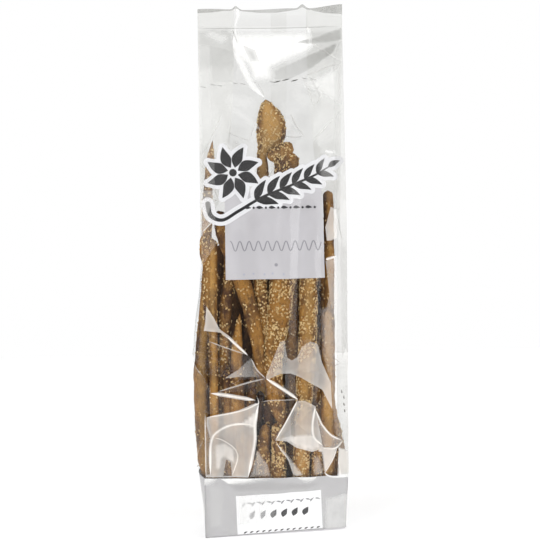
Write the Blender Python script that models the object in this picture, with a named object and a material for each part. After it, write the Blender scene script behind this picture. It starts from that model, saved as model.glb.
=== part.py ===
"""A clear side-gusset bag of breadsticks, standing on its folded block bottom, as one closed solid.

The solid is the outer form of the filled bag. A ring of points is worked out at each height from
the depth of the bag there, the crown of its panels, the swell of its sides and the depth of its
gussets, and the rings are joined into one skin with a flat base and a pressed, sealed top.
The front faces -Y, the bag stands on the plane z = 0, and the middle of its box is over the origin.
"""

import math

import bpy

# Film and folds (metres)
FACE_WIDTH = 0.100
GUSSET_WIDTH = 0.050
HEIGHT = 0.366
TOP_EDGE_RISE = 0.004
SEAL_HEIGHT = 0.011
SEAL_THICKNESS = 0.0018

# Depth of the bag from the front creases to the back ones
BASE_DEPTH = 0.043
FILLED_DEPTH = 0.045
FILLED_BOTTOM = 0.045
FILLED_TOP = 0.218
BASE_SKEW = 0.014
SKEW_TOP = 0.050
BASE_EDGE_LIFT = 0.0008
CORNER_LIFT = 0.0022
LIFT_TOP = 0.040
BASE_INSET = 0.0035

# Crown of the two wide panels over the sticks
FRONT_CROWN = 0.0036
BACK_CROWN = 0.0030
CROWN_BOTTOM = 0.050
CROWN_TOP = 0.235

# Swell of the sides, where the sticks press them out
LEFT_SWELL = 0.0080
RIGHT_SWELL = 0.0020
SWELL_PEAK = 0.092
SWELL_REACH_DOWN = 0.088
SWELL_REACH_UP = 0.100

# Inward folds of the gussets, above the sticks
GUSSET_START = 0.196
GUSSET_FULL = 0.245
GUSSET_FADE_START = 0.300
GUSSET_FADE_END = 0.345

# Sticks that show as long ridges: (x at the foot, x at the head, z of the head, half width, height)
FRONT_STICKS = (
    (-0.041, -0.043, 0.205, 0.0075, 0.0016),
    (-0.020, -0.030, 0.232, 0.0080, 0.0018),
    (0.001, 0.010, 0.262, 0.0095, 0.0026),
    (0.022, 0.026, 0.238, 0.0085, 0.0018),
    (0.039, 0.039, 0.212, 0.0070, 0.0014),
)
BACK_STICKS = (
    (-0.036, -0.032, 0.226, 0.0080, 0.0016),
    (-0.014, -0.016, 0.236, 0.0085, 0.0020),
    (0.008, 0.002, 0.250, 0.0085, 0.0022),
    (0.031, 0.027, 0.230, 0.0085, 0.0018),
)
RIDGE_FOOT = 0.040
RIDGE_RUN_OUT = 0.030
TALL_STICK = (-0.003, 0.285, 0.0110, 0.0250, 0.0030)

# Back seam
FIN_X = 0.006
FIN_WIDTH = 0.012
FIN_THICKNESS = 0.0007

# How finely the skin is divided
FRONT_COLUMNS = 30
BACK_COLUMNS = 26
SIDE_COLUMNS = 8
LOW_RINGS = 8
MIDDLE_RINGS = 18
UPPER_RINGS = 16
SEAL_RINGS = 2


def smooth(low, high, value):
    """Rise evenly from 0 at low to 1 at high, level at both ends."""
    t = min(max((value - low) / (high - low), 0.0), 1.0)
    return t * t * (3.0 - 2.0 * t)


def mix(first, second, share):
    """The value that lies the given share of the way from first to second."""
    return first + (second - first) * share


def seal_bottom():
    """The height at which the pressed seal begins."""
    return HEIGHT - SEAL_HEIGHT


def corner_depth(z):
    """Depth of the bag between its front and back creases at height z."""
    if z <= FILLED_TOP:
        return mix(BASE_DEPTH, FILLED_DEPTH, smooth(0.0, FILLED_BOTTOM, z))
    share = min((z - FILLED_TOP) / (seal_bottom() - FILLED_TOP), 1.0)
    return mix(FILLED_DEPTH, SEAL_THICKNESS, share)


def crown(z, height):
    """How far a wide panel stands proud of its creases at mid width and height z."""
    rise = smooth(0.0, CROWN_BOTTOM, z)
    return height * rise * (1.0 - smooth(CROWN_TOP, seal_bottom(), z))


def swell(z, height):
    """How far a side stands out past the creases at mid depth and height z."""
    reach = SWELL_REACH_DOWN if z < SWELL_PEAK else SWELL_REACH_UP
    share = min(abs(z - SWELL_PEAK) / reach, 1.0)
    return height * (1.0 - share * share) ** 1.5


def gusset_fold(z):
    """How far the middle of a side is folded in at height z, from the width of its film."""
    half_film = GUSSET_WIDTH / 2.0
    half_depth = min(corner_depth(z) / 2.0, half_film)
    fold = math.sqrt(half_film ** 2 - half_depth ** 2)
    window = smooth(GUSSET_START, GUSSET_FULL, z)
    window *= 1.0 - smooth(GUSSET_FADE_START, GUSSET_FADE_END, z)
    return fold * window


def ridges(x, z, sticks):
    """Height of the ridges that the sticks behind a panel raise at x and z."""
    total = 0.0
    for foot, head, top, half_width, height in sticks:
        centre = mix(foot, head, z / top)
        across = 1.0 - smooth(0.0, half_width, abs(x - centre))
        along = smooth(0.0, RIDGE_FOOT, z) * (1.0 - smooth(top - RIDGE_RUN_OUT, top, z))
        total += height * across * along
    return total


def tall_stick_bump(x, z):
    """Height of the rounded bump over the head of the tallest stick."""
    centre_x, centre_z, half_width, half_height, height = TALL_STICK
    across = 1.0 - smooth(0.0, half_width, abs(x - centre_x))
    along = 1.0 - smooth(0.0, half_height, abs(z - centre_z))
    return height * across * along


def front_point(u, z):
    """Point of the front panel at share u of its width, from -1 at the left to 1."""
    x = u * FACE_WIDTH / 2.0
    skew = BASE_SKEW * (1.0 - smooth(0.0, SKEW_TOP, z)) * (u + 1.0) / 2.0
    proud = crown(z, FRONT_CROWN) * (1.0 - u * u)
    proud += ridges(x, z, FRONT_STICKS) + tall_stick_bump(x, z)
    return (x, skew - corner_depth(z) / 2.0 - proud)


def back_point(u, z):
    """Point of the back panel at share u of its width, with the raised seam near its middle."""
    x = u * FACE_WIDTH / 2.0
    proud = crown(z, BACK_CROWN) * (1.0 - u * u) + ridges(x, z, BACK_STICKS)
    if abs(x - FIN_X) < FIN_WIDTH / 2.0:
        proud += FIN_THICKNESS * smooth(0.0, RIDGE_FOOT, z)
    return (x, corner_depth(z) / 2.0 + proud)


def side_point(side, t, z):
    """Point of a side at share t from the front crease to the back; side is -1 left, 1 right."""
    front_y = front_point(side, z)[1]
    back_y = back_point(side, z)[1]
    out = swell(z, LEFT_SWELL if side < 0 else RIGHT_SWELL) * 4.0 * t * (1.0 - t)
    fold = gusset_fold(z) * (1.0 - abs(2.0 * t - 1.0))
    return (side * (FACE_WIDTH / 2.0 + out - fold), mix(front_y, back_y, t))


def ring(z):
    """Points round the bag at height z, anticlockwise from the front left crease."""
    points = [front_point(2.0 * i / FRONT_COLUMNS - 1.0, z) for i in range(FRONT_COLUMNS)]
    points += [side_point(1, i / SIDE_COLUMNS, z) for i in range(SIDE_COLUMNS)]
    points += [back_point(1.0 - 2.0 * i / BACK_COLUMNS, z) for i in range(BACK_COLUMNS)]
    points += [side_point(-1, 1.0 - i / SIDE_COLUMNS, z) for i in range(SIDE_COLUMNS)]
    return points


def heights():
    """Heights of the rings, closer together over the low swell and at the seal."""
    stations = (
        (0.0, FILLED_BOTTOM, LOW_RINGS),
        (FILLED_BOTTOM, GUSSET_START, MIDDLE_RINGS),
        (GUSSET_START, seal_bottom(), UPPER_RINGS),
        (seal_bottom(), HEIGHT, SEAL_RINGS),
    )
    levels = [mix(low, high, i / count) for low, high, count in stations for i in range(count)]
    return levels + [HEIGHT]


def lift(x, y, z):
    """How far a point stands above its ring: rounded base, lifted front corner, slanting top."""
    right = min(max(x / FACE_WIDTH + 0.5, 0.0), 1.0)
    front = min(max(0.5 - y / BASE_DEPTH, 0.0), 1.0)
    low = (BASE_EDGE_LIFT + CORNER_LIFT * right * front) * (1.0 - smooth(0.0, LIFT_TOP, z))
    return low + TOP_EDGE_RISE * right * smooth(seal_bottom(), HEIGHT, z)


def base_rim():
    """The flat face that the bag stands on: its outline at the floor, set in from the edge."""
    points = []
    for x, y in ring(0.0):
        length = math.hypot(x, y)
        points.append((x - BASE_INSET * x / length, y - BASE_INSET * y / length, 0.0))
    return points


def centred(points):
    """Move the points in x and y so that the middle of their box is over the origin."""
    middle_x = (min(p[0] for p in points) + max(p[0] for p in points)) / 2.0
    middle_y = (min(p[1] for p in points) + max(p[1] for p in points)) / 2.0
    return [(x - middle_x, y - middle_y, z) for x, y, z in points]


def bag_mesh():
    """Join the rings into one closed skin with a flat base and a flat top edge."""
    vertices = base_rim()
    count = len(vertices)
    for z in heights():
        vertices += [(x, y, z + lift(x, y, z)) for x, y in ring(z)]
    vertices = centred(vertices)
    faces = []
    for level in range(len(vertices) // count - 1):
        low = level * count
        high = low + count
        for i in range(count):
            j = (i + 1) % count
            faces.append((low + i, low + j, high + j, high + i))
    faces.append(tuple(reversed(range(count))))
    top = len(vertices) - count
    faces.append(tuple(range(top, top + count)))
    mesh = bpy.data.meshes.new("bag")
    mesh.from_pydata(vertices, [], faces)
    mesh.validate()
    mesh.shade_smooth()
    mesh.set_sharp_from_angle(angle=math.radians(35.0))
    return mesh


def film_material():
    """Clear film over golden sticks, as one plain surface."""
    material = bpy.data.materials.new("film")
    material.use_nodes = True
    shader = material.node_tree.nodes["Principled BSDF"]
    shader.inputs["Base Color"].default_value = (0.42, 0.30, 0.18, 1.0)
    shader.inputs["Roughness"].default_value = 0.25
    shader.inputs["Metallic"].default_value = 0.0
    return material


def main():
    """Clear the scene and make the bag."""
    for old in list(bpy.data.objects):
        bpy.data.objects.remove(old)
    bag = bpy.data.objects.new("bag", bag_mesh())
    bag.data.materials.append(film_material())
    bpy.context.scene.collection.objects.link(bag)


main()
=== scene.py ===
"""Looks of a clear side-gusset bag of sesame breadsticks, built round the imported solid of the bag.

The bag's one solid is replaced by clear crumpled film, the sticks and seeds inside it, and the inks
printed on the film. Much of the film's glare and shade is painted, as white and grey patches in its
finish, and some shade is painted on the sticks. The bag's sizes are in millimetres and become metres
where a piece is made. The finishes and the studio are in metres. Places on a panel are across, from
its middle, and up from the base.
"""

import logging
import math
from dataclasses import dataclass, field
from enum import Enum

import bpy
import numpy as np
from mathutils import Matrix, Vector, noise
from mathutils.geometry import delaunay_2d_cdt
from mathutils.kdtree import KDTree


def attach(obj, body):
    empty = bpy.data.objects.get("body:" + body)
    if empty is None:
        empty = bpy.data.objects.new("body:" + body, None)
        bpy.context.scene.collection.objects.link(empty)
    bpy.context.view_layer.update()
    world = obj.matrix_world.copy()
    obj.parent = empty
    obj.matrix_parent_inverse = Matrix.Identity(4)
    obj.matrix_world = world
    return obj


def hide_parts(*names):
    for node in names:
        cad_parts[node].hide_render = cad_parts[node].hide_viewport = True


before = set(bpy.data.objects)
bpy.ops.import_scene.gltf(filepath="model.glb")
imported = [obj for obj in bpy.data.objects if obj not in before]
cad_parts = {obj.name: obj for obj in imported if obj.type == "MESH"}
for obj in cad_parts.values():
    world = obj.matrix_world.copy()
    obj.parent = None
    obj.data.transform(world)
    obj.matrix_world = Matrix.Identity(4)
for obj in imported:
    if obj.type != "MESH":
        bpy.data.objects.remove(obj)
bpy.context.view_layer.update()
LOG = logging.getLogger("breadstick_bag")
MM = 0.001
BODY = "root"
NODE = "bag"

WHITE = (1.0, 1.0, 1.0)
# Points of a mesh that lie closer than this become one
MERGED = 1e-4
# Lengths and areas under this count as none
TINY = 1e-6
# How far past the box of a glare or a crease its edge is still looked for
GLARE_REACH = 1.0
CREASE_REACH = 3.0

Pair = tuple[float, float]
Triple = tuple[float, float, float]
Options = dict | None
Array = np.ndarray
Points = tuple | list | Array
Mesh = tuple[Array, Array]


class Panel(Enum):
    """The four panels of film that go round the bag."""

    FRONT = "front"
    RIGHT = "right"
    BACK = "back"
    LEFT = "left"


class Slot(Enum):
    """The record's material slots."""

    FILM = "film"
    STICK = "breadstick"
    SEED = "sesame"
    INK = "print"


# ---- small tools


def smooth(low: float, high: float, value: Array | float) -> Array:
    """Rise evenly from 0 at low to 1 at high, level at both ends."""
    t = np.clip((np.asarray(value, float) - low) / (high - low), 0.0, 1.0)
    return t * t * (3.0 - 2.0 * t)


def in_box(points: Array, low: Array, high: Array) -> Array:
    """Numbers of the points that lie within a box."""
    return np.flatnonzero(((points >= low) & (points <= high)).all(axis=1))


def inside(points: Array, outline: Array) -> Array:
    """Tell which points lie inside a closed outline.

    Args:
        points: n by 2 array.
        outline: m by 2 array of corners.

    Returns:
        n booleans.
    """
    result = np.zeros(len(points), bool)
    near = in_box(points, outline.min(axis=0), outline.max(axis=0))
    x, z = points[near, 0], points[near, 1]
    odd = np.zeros(len(near), bool)
    for (x0, z0), (x1, z1) in zip(outline, np.roll(outline, -1, axis=0)):
        if z0 != z1:
            crosses = (z0 > z) != (z1 > z)
            odd ^= crosses & (x < (x1 - x0) * (z - z0) / (z1 - z0) + x0)
    result[near] = odd
    return result


def distance_to_line(points: Array, line: Array, reach: float = np.inf) -> Array:
    """Distance from each point to an open line of straight runs.

    Args:
        points: n by 2 array.
        line: m by 2 array.
        reach: points outside the line's box by more than this are left as far away.

    Returns:
        n distances.
    """
    result = np.full(len(points), np.inf)
    near = in_box(points, line.min(axis=0) - reach, line.max(axis=0) + reach)
    held, best = points[near], result[near]
    for start, end in zip(line[:-1], line[1:]):
        run = end - start
        share = np.clip(((held - start) @ run) / max(run @ run, TINY**2), 0.0, 1.0)
        best = np.minimum(best, np.linalg.norm(held - (start + share[:, None] * run), axis=1))
    result[near] = best
    return result


def lengths(line: Array) -> Array:
    """Length along a line up to each of its points."""
    return np.concatenate([[0.0], np.cumsum(np.linalg.norm(np.diff(line, axis=0), axis=1))])


def looped(line: Array) -> Array:
    """A line with its first point added at its end."""
    return np.vstack([line, line[:1]])


def directions(line: Array) -> Array:
    """Direction along a line at each of its points."""
    run = np.gradient(line, axis=0)
    return run / np.maximum(np.linalg.norm(run, axis=1), TINY)[:, None]


def left_of(run: Array) -> Array:
    """Flat directions turned a quarter to the left."""
    return np.stack([-run[..., 1], run[..., 0]], axis=-1)


def turns(count: int) -> Array:
    """Angles evenly round a circle, in radians."""
    return np.linspace(0.0, 2 * math.pi, count, endpoint=False)


def heading(angle: float) -> Array:
    """Flat direction at an angle in degrees, anticlockwise from the right."""
    return np.array([math.cos(math.radians(angle)), math.sin(math.radians(angle))])


def curve_through(points: Points, step: float) -> Array:
    """Read a smooth curve through a few points, evenly spaced.

    Args:
        points: the points, of any dimension.
        step: spacing of the points returned.

    Returns:
        k by d array of points along the curve.
    """
    knots = np.asarray(points, float)
    padded = np.vstack([2 * knots[0] - knots[1], knots, 2 * knots[-1] - knots[-2]])
    rows = []
    for a, b, c, d in zip(padded[:-3], padded[1:-2], padded[2:-1], padded[3:]):
        count = max(2, int(np.linalg.norm(c - b) / step) * 2)
        t = np.linspace(0.0, 1.0, count, endpoint=False)[:, None]
        cubic = (3 * b - a - 3 * c + d) * t**3
        rows.append(0.5 * (2 * b + (c - a) * t + (2 * a - 5 * b + 4 * c - d) * t**2 + cubic))
    path = np.vstack([*rows, knots[-1:]])
    along = lengths(path)
    reads = np.linspace(0.0, along[-1], max(2, int(round(along[-1] / step)) + 1))
    return np.stack([np.interp(reads, along, axis) for axis in path.T], axis=1)


def straight_through(points: Points, step: float, closed: bool = False) -> Array:
    """Divide straight runs between points into steps.

    Args:
        points: the corners.
        step: longest spacing.
        closed: whether the line goes back towards its first corner.

    Returns:
        k by d array of points.
    """
    corners = looped(np.asarray(points, float)) if closed else np.asarray(points, float)
    rows = []
    for start, end in zip(corners[:-1], corners[1:]):
        count = max(1, int(math.ceil(np.linalg.norm(end - start) / step)))
        rows.append(start + (end - start) * np.linspace(0.0, 1.0, count, endpoint=False)[:, None])
    return np.vstack(rows if closed else [*rows, corners[-1:]])


def grid_faces(rows: int, columns: int, closed: bool = False) -> Array:
    """Four-sided faces between rows of points.

    Args:
        rows: how many rows there are.
        columns: points in a row.
        closed: whether each row goes back to its first point.

    Returns:
        n by 4 array of corners.
    """
    spans = columns if closed else columns - 1
    row, column = (a.ravel() for a in np.meshgrid(np.arange(rows - 1), np.arange(spans), indexing="ij"))
    low, high, after = row * columns, (row + 1) * columns, (column + 1) % columns
    return np.stack([low + column, low + after, high + after, high + column], axis=1)


def halved(quads: Array) -> Array:
    """Four-sided faces cut into triangles."""
    return np.vstack([quads[:, [0, 1, 2]], quads[:, [0, 2, 3]]])


def joined(parts: list) -> Mesh:
    """Join meshes of triangles, each given by its points, its faces and perhaps more.

    Args:
        parts: the meshes.

    Returns:
        All points and faces.
    """
    starts = np.cumsum([0, *(len(part[0]) for part in parts[:-1])])
    faces = [part[1] + start for part, start in zip(parts, starts)]
    return np.vstack([part[0] for part in parts]), np.vstack(faces)


def new_object(
    name: str,
    vertices: Array,
    faces: Array,
    material: bpy.types.Material,
    sharp: float | None = None,
    marks: dict[str, Array] | None = None,
) -> bpy.types.Object:
    """Make a mesh object from arrays.

    Args:
        name: the piece's name.
        vertices: n by 3 array in metres.
        faces: corner indices of each face.
        material: the finish.
        sharp: angle in degrees over which an edge stays sharp, or None for all smooth.
        marks: values for each corner of each face, kept as attributes for the finish to read.

    Returns:
        The linked object.
    """
    mesh = bpy.data.meshes.new(name)
    mesh.from_pydata(vertices.tolist(), [], faces.tolist())
    for key, values in (marks or {}).items():
        layer = mesh.attributes.new(key, "FLOAT", "CORNER")
        layer.data.foreach_set("value", np.asarray(values, np.float32).ravel())
    mesh.shade_smooth()
    if sharp is not None:
        mesh.set_sharp_from_angle(angle=math.radians(sharp))
    mesh.materials.append(material)
    made = bpy.data.objects.new(name, mesh)
    bpy.context.scene.collection.objects.link(made)
    return made


def place(piece: bpy.types.Object, slot: Slot) -> None:
    """Let a piece ride on the bag in place of its solid.

    Args:
        piece: the piece.
        slot: not used.
    """
    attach(piece, BODY)
    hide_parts(NODE)
    LOG.info("%s: %d faces", piece.name, len(piece.data.polygons))


# ---- shader arithmetic


class Sock:
    """A node's output that takes part in Python arithmetic."""

    def __init__(self, graph: "Graph", socket: bpy.types.NodeSocket | None) -> None:
        """Keep the socket and the graph that it is in."""
        self.graph = graph
        self.socket = socket

    def _math(self, operation: str, first: "Sock | float", second: "Sock | float") -> "Sock":
        """Value of a Math node of this operation."""
        return self.graph.node("ShaderNodeMath", {"operation": operation}, {0: first, 1: second})

    def __add__(self, other: "Sock | float") -> "Sock":
        """self + other"""
        return self._math("ADD", self, other)

    def __radd__(self, other: float) -> "Sock":
        """other + self"""
        return self._math("ADD", other, self)

    def __sub__(self, other: "Sock | float") -> "Sock":
        """self - other"""
        return self._math("SUBTRACT", self, other)

    def __rsub__(self, other: float) -> "Sock":
        """other - self"""
        return self._math("SUBTRACT", other, self)

    def __mul__(self, other: "Sock | float") -> "Sock":
        """self * other"""
        return self._math("MULTIPLY", self, other)

    def __rmul__(self, other: float) -> "Sock":
        """other * self"""
        return self._math("MULTIPLY", other, self)

    def __pow__(self, other: float) -> "Sock":
        """self to the power other"""
        return self._math("POWER", self, other)

    def between(self, low: float, high: float) -> "Sock":
        """Share from 0 to 1 as this value goes from low to high, kept within them."""
        values = {"Value": self, "From Min": low, "From Max": high, "To Min": 0.0, "To Max": 1.0}
        return self.graph.node("ShaderNodeMapRange", {"interpolation_type": "SMOOTHSTEP"}, values)


class Graph:
    """The node tree of a material, or of the world."""

    def __init__(self, owner: bpy.types.Material | bpy.types.World) -> None:
        """Clear the nodes of a material or a world.

        Args:
            owner: the material or world.
        """
        owner.use_nodes = True
        self.owner = owner
        self.tree = owner.node_tree
        self.tree.nodes.clear()

    def node(
        self, kind: str, settings: Options = None, values: Options = None, output: str | int = 0
    ) -> Sock:
        """Add a node, set it up and fill its sockets.

        Args:
            kind: the node's type.
            settings: its own settings, set first.
            values: numbers, colours or links for its inputs, by name or place.
            output: the output wanted.

        Returns:
            That output, which is empty for a node without outputs.
        """
        node = self.tree.nodes.new(kind)
        for key, value in (settings or {}).items():
            setattr(node, key, value)
        for key, value in (values or {}).items():
            if isinstance(value, Sock):
                self.tree.links.new(value.socket, node.inputs[key])
            else:
                colour = node.inputs[key].type == "RGBA"
                node.inputs[key].default_value = (*value, 1.0) if colour else value
        return Sock(self, node.outputs[output] if len(node.outputs) else None)

    def place(self) -> Sock:
        """The object's own coordinates."""
        return self.node("ShaderNodeTexCoord", output="Object")

    def mark(self, name: str) -> Sock:
        """A value kept on the mesh's faces."""
        return self.node("ShaderNodeAttribute", {"attribute_name": name}, output="Fac")

    def noise(self, scale: float, detail: float, roughness: float = 0.5, at: Sock | None = None) -> Sock:
        """A cloud of noise from 0 to 1: its blobs in a metre, its finer octaves and their strength."""
        values = {"Vector": at or self.place(), "Scale": scale, "Detail": detail, "Roughness": roughness}
        return self.node("ShaderNodeTexNoise", {}, values)

    def stretched(self, by: Triple) -> Sock:
        """The object's coordinates, stretched by a factor on each axis."""
        values = {0: self.place(), 1: by}
        return self.node("ShaderNodeVectorMath", {"operation": "MULTIPLY"}, values)

    def blend(self, share: Sock, first: Sock | Triple, second: Sock | Triple, way: str = "MIX") -> Sock:
        """Mix two colours, of which a share of 0 gives the first and 1 the second."""
        settings = {"data_type": "RGBA", "blend_type": way}
        return self.node("ShaderNodeMix", settings, {0: share, 6: first, 7: second}, output=2)

    def bump(self, height: Sock, strength: float, distance: float) -> Sock:
        """Turn a height from 0 to 1 into a normal, where 1 is so many metres high."""
        values = {"Strength": strength, "Distance": distance, "Height": height}
        return self.node("ShaderNodeBump", {}, values, output="Normal")

    def join(self, share: Sock, first: Sock, second: Sock) -> Sock:
        """Mix two shaders."""
        return self.node("ShaderNodeMixShader", {}, {0: share, 1: first, 2: second})

    def finish(self, surface: Sock) -> bpy.types.Material | bpy.types.World:
        """Send a shader to the surface.

        Args:
            surface: the shader.

        Returns:
            The finished material or world.
        """
        kind = "World" if isinstance(self.owner, bpy.types.World) else "Material"
        self.node("ShaderNodeOutput" + kind, {}, {"Surface": surface})
        return self.owner

    def principled(self, values: dict) -> bpy.types.Material:
        """Send a Principled shader with these values to the surface."""
        return self.finish(self.node("ShaderNodeBsdfPrincipled", {}, values))


def linear(red: float, green: float, blue: float) -> Triple:
    """Linear values, which shaders take, of a screen colour from 0 to 255."""
    shares = [v / 255.0 for v in (red, green, blue)]
    return tuple(s / 12.92 if s <= 0.04045 else ((s + 0.055) / 1.055) ** 2.4 for s in shares)


# ---- finishes


@dataclass(frozen=True)
class Pattern:
    """A noise in a finish: blobs in a metre, their detail and grain, and where and how much it shows."""

    scale: float
    detail: float
    grain: float
    shows: Pair
    share: float = 1.0

    def cloud(self, graph: Graph, at: Sock | None = None) -> Sock:
        """The noise itself, at the object's own coordinates or others."""
        return graph.noise(self.scale, self.detail, self.grain, at)

    def cover(self, cloud: Sock) -> Sock:
        """How much of the pattern shows for a value of its noise."""
        shown = cloud.between(*self.shows)
        return shown if self.share == 1.0 else shown * self.share


@dataclass(frozen=True)
class ClearFilm:
    """Glossy clear film with painted glare in white patches, warm over the sticks, and painted shade in grey.
    """

    name: str = "film_clear"
    tint: Triple = (0.97, 0.97, 0.964)
    # Painted glare, neutral and warm with painted bounce light from the crust, and the painted shade grey
    glare_white: Triple = linear(250, 250, 248)
    bounce_warm_glare: Triple = linear(252, 247, 241)
    shade_grey: Triple = linear(120, 120, 114)
    # Heights in metres where the painted glare turns warm with painted bounce light, and where it cools again
    bounce_from: Pair = (0.043, 0.046)
    bounce_to: Pair = (0.20, 0.27)
    head_on: float = 0.036
    grazing: float = 0.30
    grazing_power: float = 5.0
    roughness: float = 0.09
    ripple: Pair = (260.0, 2.0)
    ripple_bump: Pair = (0.25, 0.0004)
    cloud: Pattern = Pattern(70.0, 3.0, 0.5, (0.25, 0.75))
    streak: Pattern = Pattern(240.0, 2.0, 0.5, (0.3, 0.7))
    streak_stretch: Triple = (1.0, 1.0, 0.12)
    # How the painted glare and painted shade vary with the cloud and the streak
    glare_mottle: Triple = (0.8, 0.22, 0.12)
    shade_mottle: Pair = (0.8, 0.3)

    def material(self) -> bpy.types.Material:
        """Build the film's nodes.

        Returns:
            The material.
        """
        graph = Graph(bpy.data.materials.new(self.name))
        cloud = self.cloud.cover(self.cloud.cloud(graph))
        streak = self.streak.cover(self.streak.cloud(graph, graph.stretched(self.streak_stretch)))
        up = graph.node("ShaderNodeSeparateXYZ", {}, {0: graph.place()}, output="Z")
        # Painted bounce light: the share of warm glare over the sticks
        bounce_share = up.between(*self.bounce_from) * (1.0 - up.between(*self.bounce_to))
        glare_white, bounce_warm_glare, shade_grey = (
            graph.node("ShaderNodeBsdfDiffuse", {}, {"Color": colour})
            for colour in (self.glare_white, self.bounce_warm_glare, self.shade_grey)
        )
        body = graph.node("ShaderNodeBsdfTransparent", {}, {"Color": self.tint})
        # Painted glare: a white diffuse mixed in by the glare mark
        even, clouded, streaked = self.glare_mottle
        painted_glare = graph.mark("painted_glare") * (even + clouded * cloud + streaked * streak)
        body = graph.join(painted_glare, body, graph.join(bounce_share, glare_white, bounce_warm_glare))
        # Painted shade: a grey diffuse mixed in by the shade mark
        even, clouded = self.shade_mottle
        body = graph.join(graph.mark("shade") * (even + clouded * cloud), body, shade_grey)
        ripples = graph.bump(graph.noise(*self.ripple), *self.ripple_bump)
        shine = {"Color": WHITE, "Roughness": self.roughness, "Normal": ripples}
        gloss = graph.node("ShaderNodeBsdfGlossy", {}, shine)
        slant = graph.node("ShaderNodeLayerWeight", {}, {"Blend": 0.5}, output="Facing")
        mirrored = slant**self.grazing_power * self.grazing + self.head_on
        return graph.finish(graph.join(mirrored, body, gloss))


@dataclass(frozen=True)
class Crust:
    """Baked crust: golden brown, darker in the hollows, paler where flour stays on the ridges, with painted
    shade carried by its tone mark.
    """

    name: str = "baked_crust"
    deep: Triple = linear(72, 41, 14)
    gold: Triple = linear(163, 114, 44)
    flour: Triple = linear(212, 168, 98)
    # Toasted brown that low tones multiply in, also used as painted shade
    toast_and_shade: Triple = linear(90, 48, 20)
    stretch: Triple = (1.0, 1.0, 0.55)
    blotch: Pattern = Pattern(75.0, 4.0, 0.6, (0.34, 0.62))
    streak: Pattern = Pattern(360.0, 3.0, 0.6, (0.48, 0.74), 0.5)
    pits: Pattern = Pattern(560.0, 2.0, 0.5, (0.56, 0.68), 0.6)
    grain: Pattern = Pattern(1500.0, 3.0, 0.65, (0.50, 0.70), 0.5)
    pale_tones: Pair = (0.95, 1.25)
    pale_share: float = 0.6
    dark_tones: Pair = (-0.35, 1.05)
    relief: Triple = (0.45, 0.35, 0.5)
    relief_bump: Pair = (0.9, 0.0008)
    roughness: float = 0.62
    roughness_spread: float = 0.2
    specular: float = 0.35

    def material(self) -> bpy.types.Material:
        """Build the crust's nodes.

        Returns:
            The material.
        """
        graph = Graph(bpy.data.materials.new(self.name))
        along = graph.stretched(self.stretch)
        blotch, streak = self.blotch.cloud(graph, along), self.streak.cloud(graph, along)
        pits, grain = self.pits.cloud(graph), self.grain.cloud(graph)
        colour = graph.blend(self.blotch.cover(blotch), self.deep, self.gold)
        colour = graph.blend(self.streak.cover(streak), colour, self.flour)
        colour = graph.blend(self.pits.cover(pits), colour, self.deep)
        colour = graph.blend(self.grain.cover(grain), colour, self.deep)
        # Tone mark: high tones add flour; low tones multiply in toast, which for the darkest sticks and each
        # stick's sides is painted shade
        tone = graph.mark("tone")
        colour = graph.blend(tone.between(*self.pale_tones) * self.pale_share, colour, self.flour)
        colour = graph.blend(1.0 - tone.between(*self.dark_tones), colour, self.toast_and_shade, "MULTIPLY")
        raised, fine, sunk = self.relief
        relief = streak * raised + grain * fine - pits * sunk
        values = {
            "Base Color": colour,
            "Roughness": blotch * self.roughness_spread + (self.roughness - self.roughness_spread / 2.0),
            "Normal": graph.bump(relief, *self.relief_bump),
            "Specular IOR Level": self.specular,
        }
        return graph.principled(values)


@dataclass(frozen=True)
class SesameSkin:
    """Toasted sesame: cream to honey, each seed a little different."""

    name: str = "sesame_skin"
    honey: Triple = linear(182, 138, 74)
    cream: Triple = linear(234, 208, 154)
    speck: Pattern = Pattern(900.0, 2.0, 0.5, (0.5, 0.8), 0.35)
    speck_bump: Pair = (0.4, 0.0002)
    roughness: float = 0.42

    def material(self) -> bpy.types.Material:
        """Build the seeds' nodes.

        Returns:
            The material.
        """
        graph = Graph(bpy.data.materials.new(self.name))
        speck = self.speck.cloud(graph)
        colour = graph.blend(graph.mark("tone"), self.honey, self.cream)
        values = {
            "Base Color": graph.blend(self.speck.cover(speck), colour, self.honey),
            "Roughness": self.roughness,
            "Normal": graph.bump(speck, *self.speck_bump),
        }
        return graph.principled(values)


@dataclass(frozen=True)
class Ink:
    """Ink printed on the film, slightly mottled, and see-through if thin."""

    name: str
    colour: Triple
    cover: float = 1.0
    mottle: float = 0.12
    roughness: float = 0.38
    metallic: float = 0.0
    cloud: Pattern = Pattern(55.0, 3.0, 0.55, (0.3, 0.7))
    stretch: Triple = (1.0, 1.0, 0.35)
    roughness_spread: float = 0.12
    ripple: Pair = (180.0, 2.0)
    ripple_bump: Pair = (0.25, 0.0003)

    def material(self) -> bpy.types.Material:
        """Build the ink's nodes.

        Returns:
            The material.
        """
        graph = Graph(bpy.data.materials.new(self.name))
        cloud = self.cloud.cloud(graph, graph.stretched(self.stretch))
        darker = tuple(c * (1.0 - 2.0 * self.mottle) for c in self.colour)
        values = {
            "Base Color": graph.blend(self.cloud.cover(cloud), darker, self.colour),
            "Roughness": cloud * self.roughness_spread + (self.roughness - self.roughness_spread / 2.0),
            "Metallic": self.metallic,
            "Alpha": self.cover,
            "Normal": graph.bump(graph.noise(*self.ripple), *self.ripple_bump),
        }
        return graph.principled(values)


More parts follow.
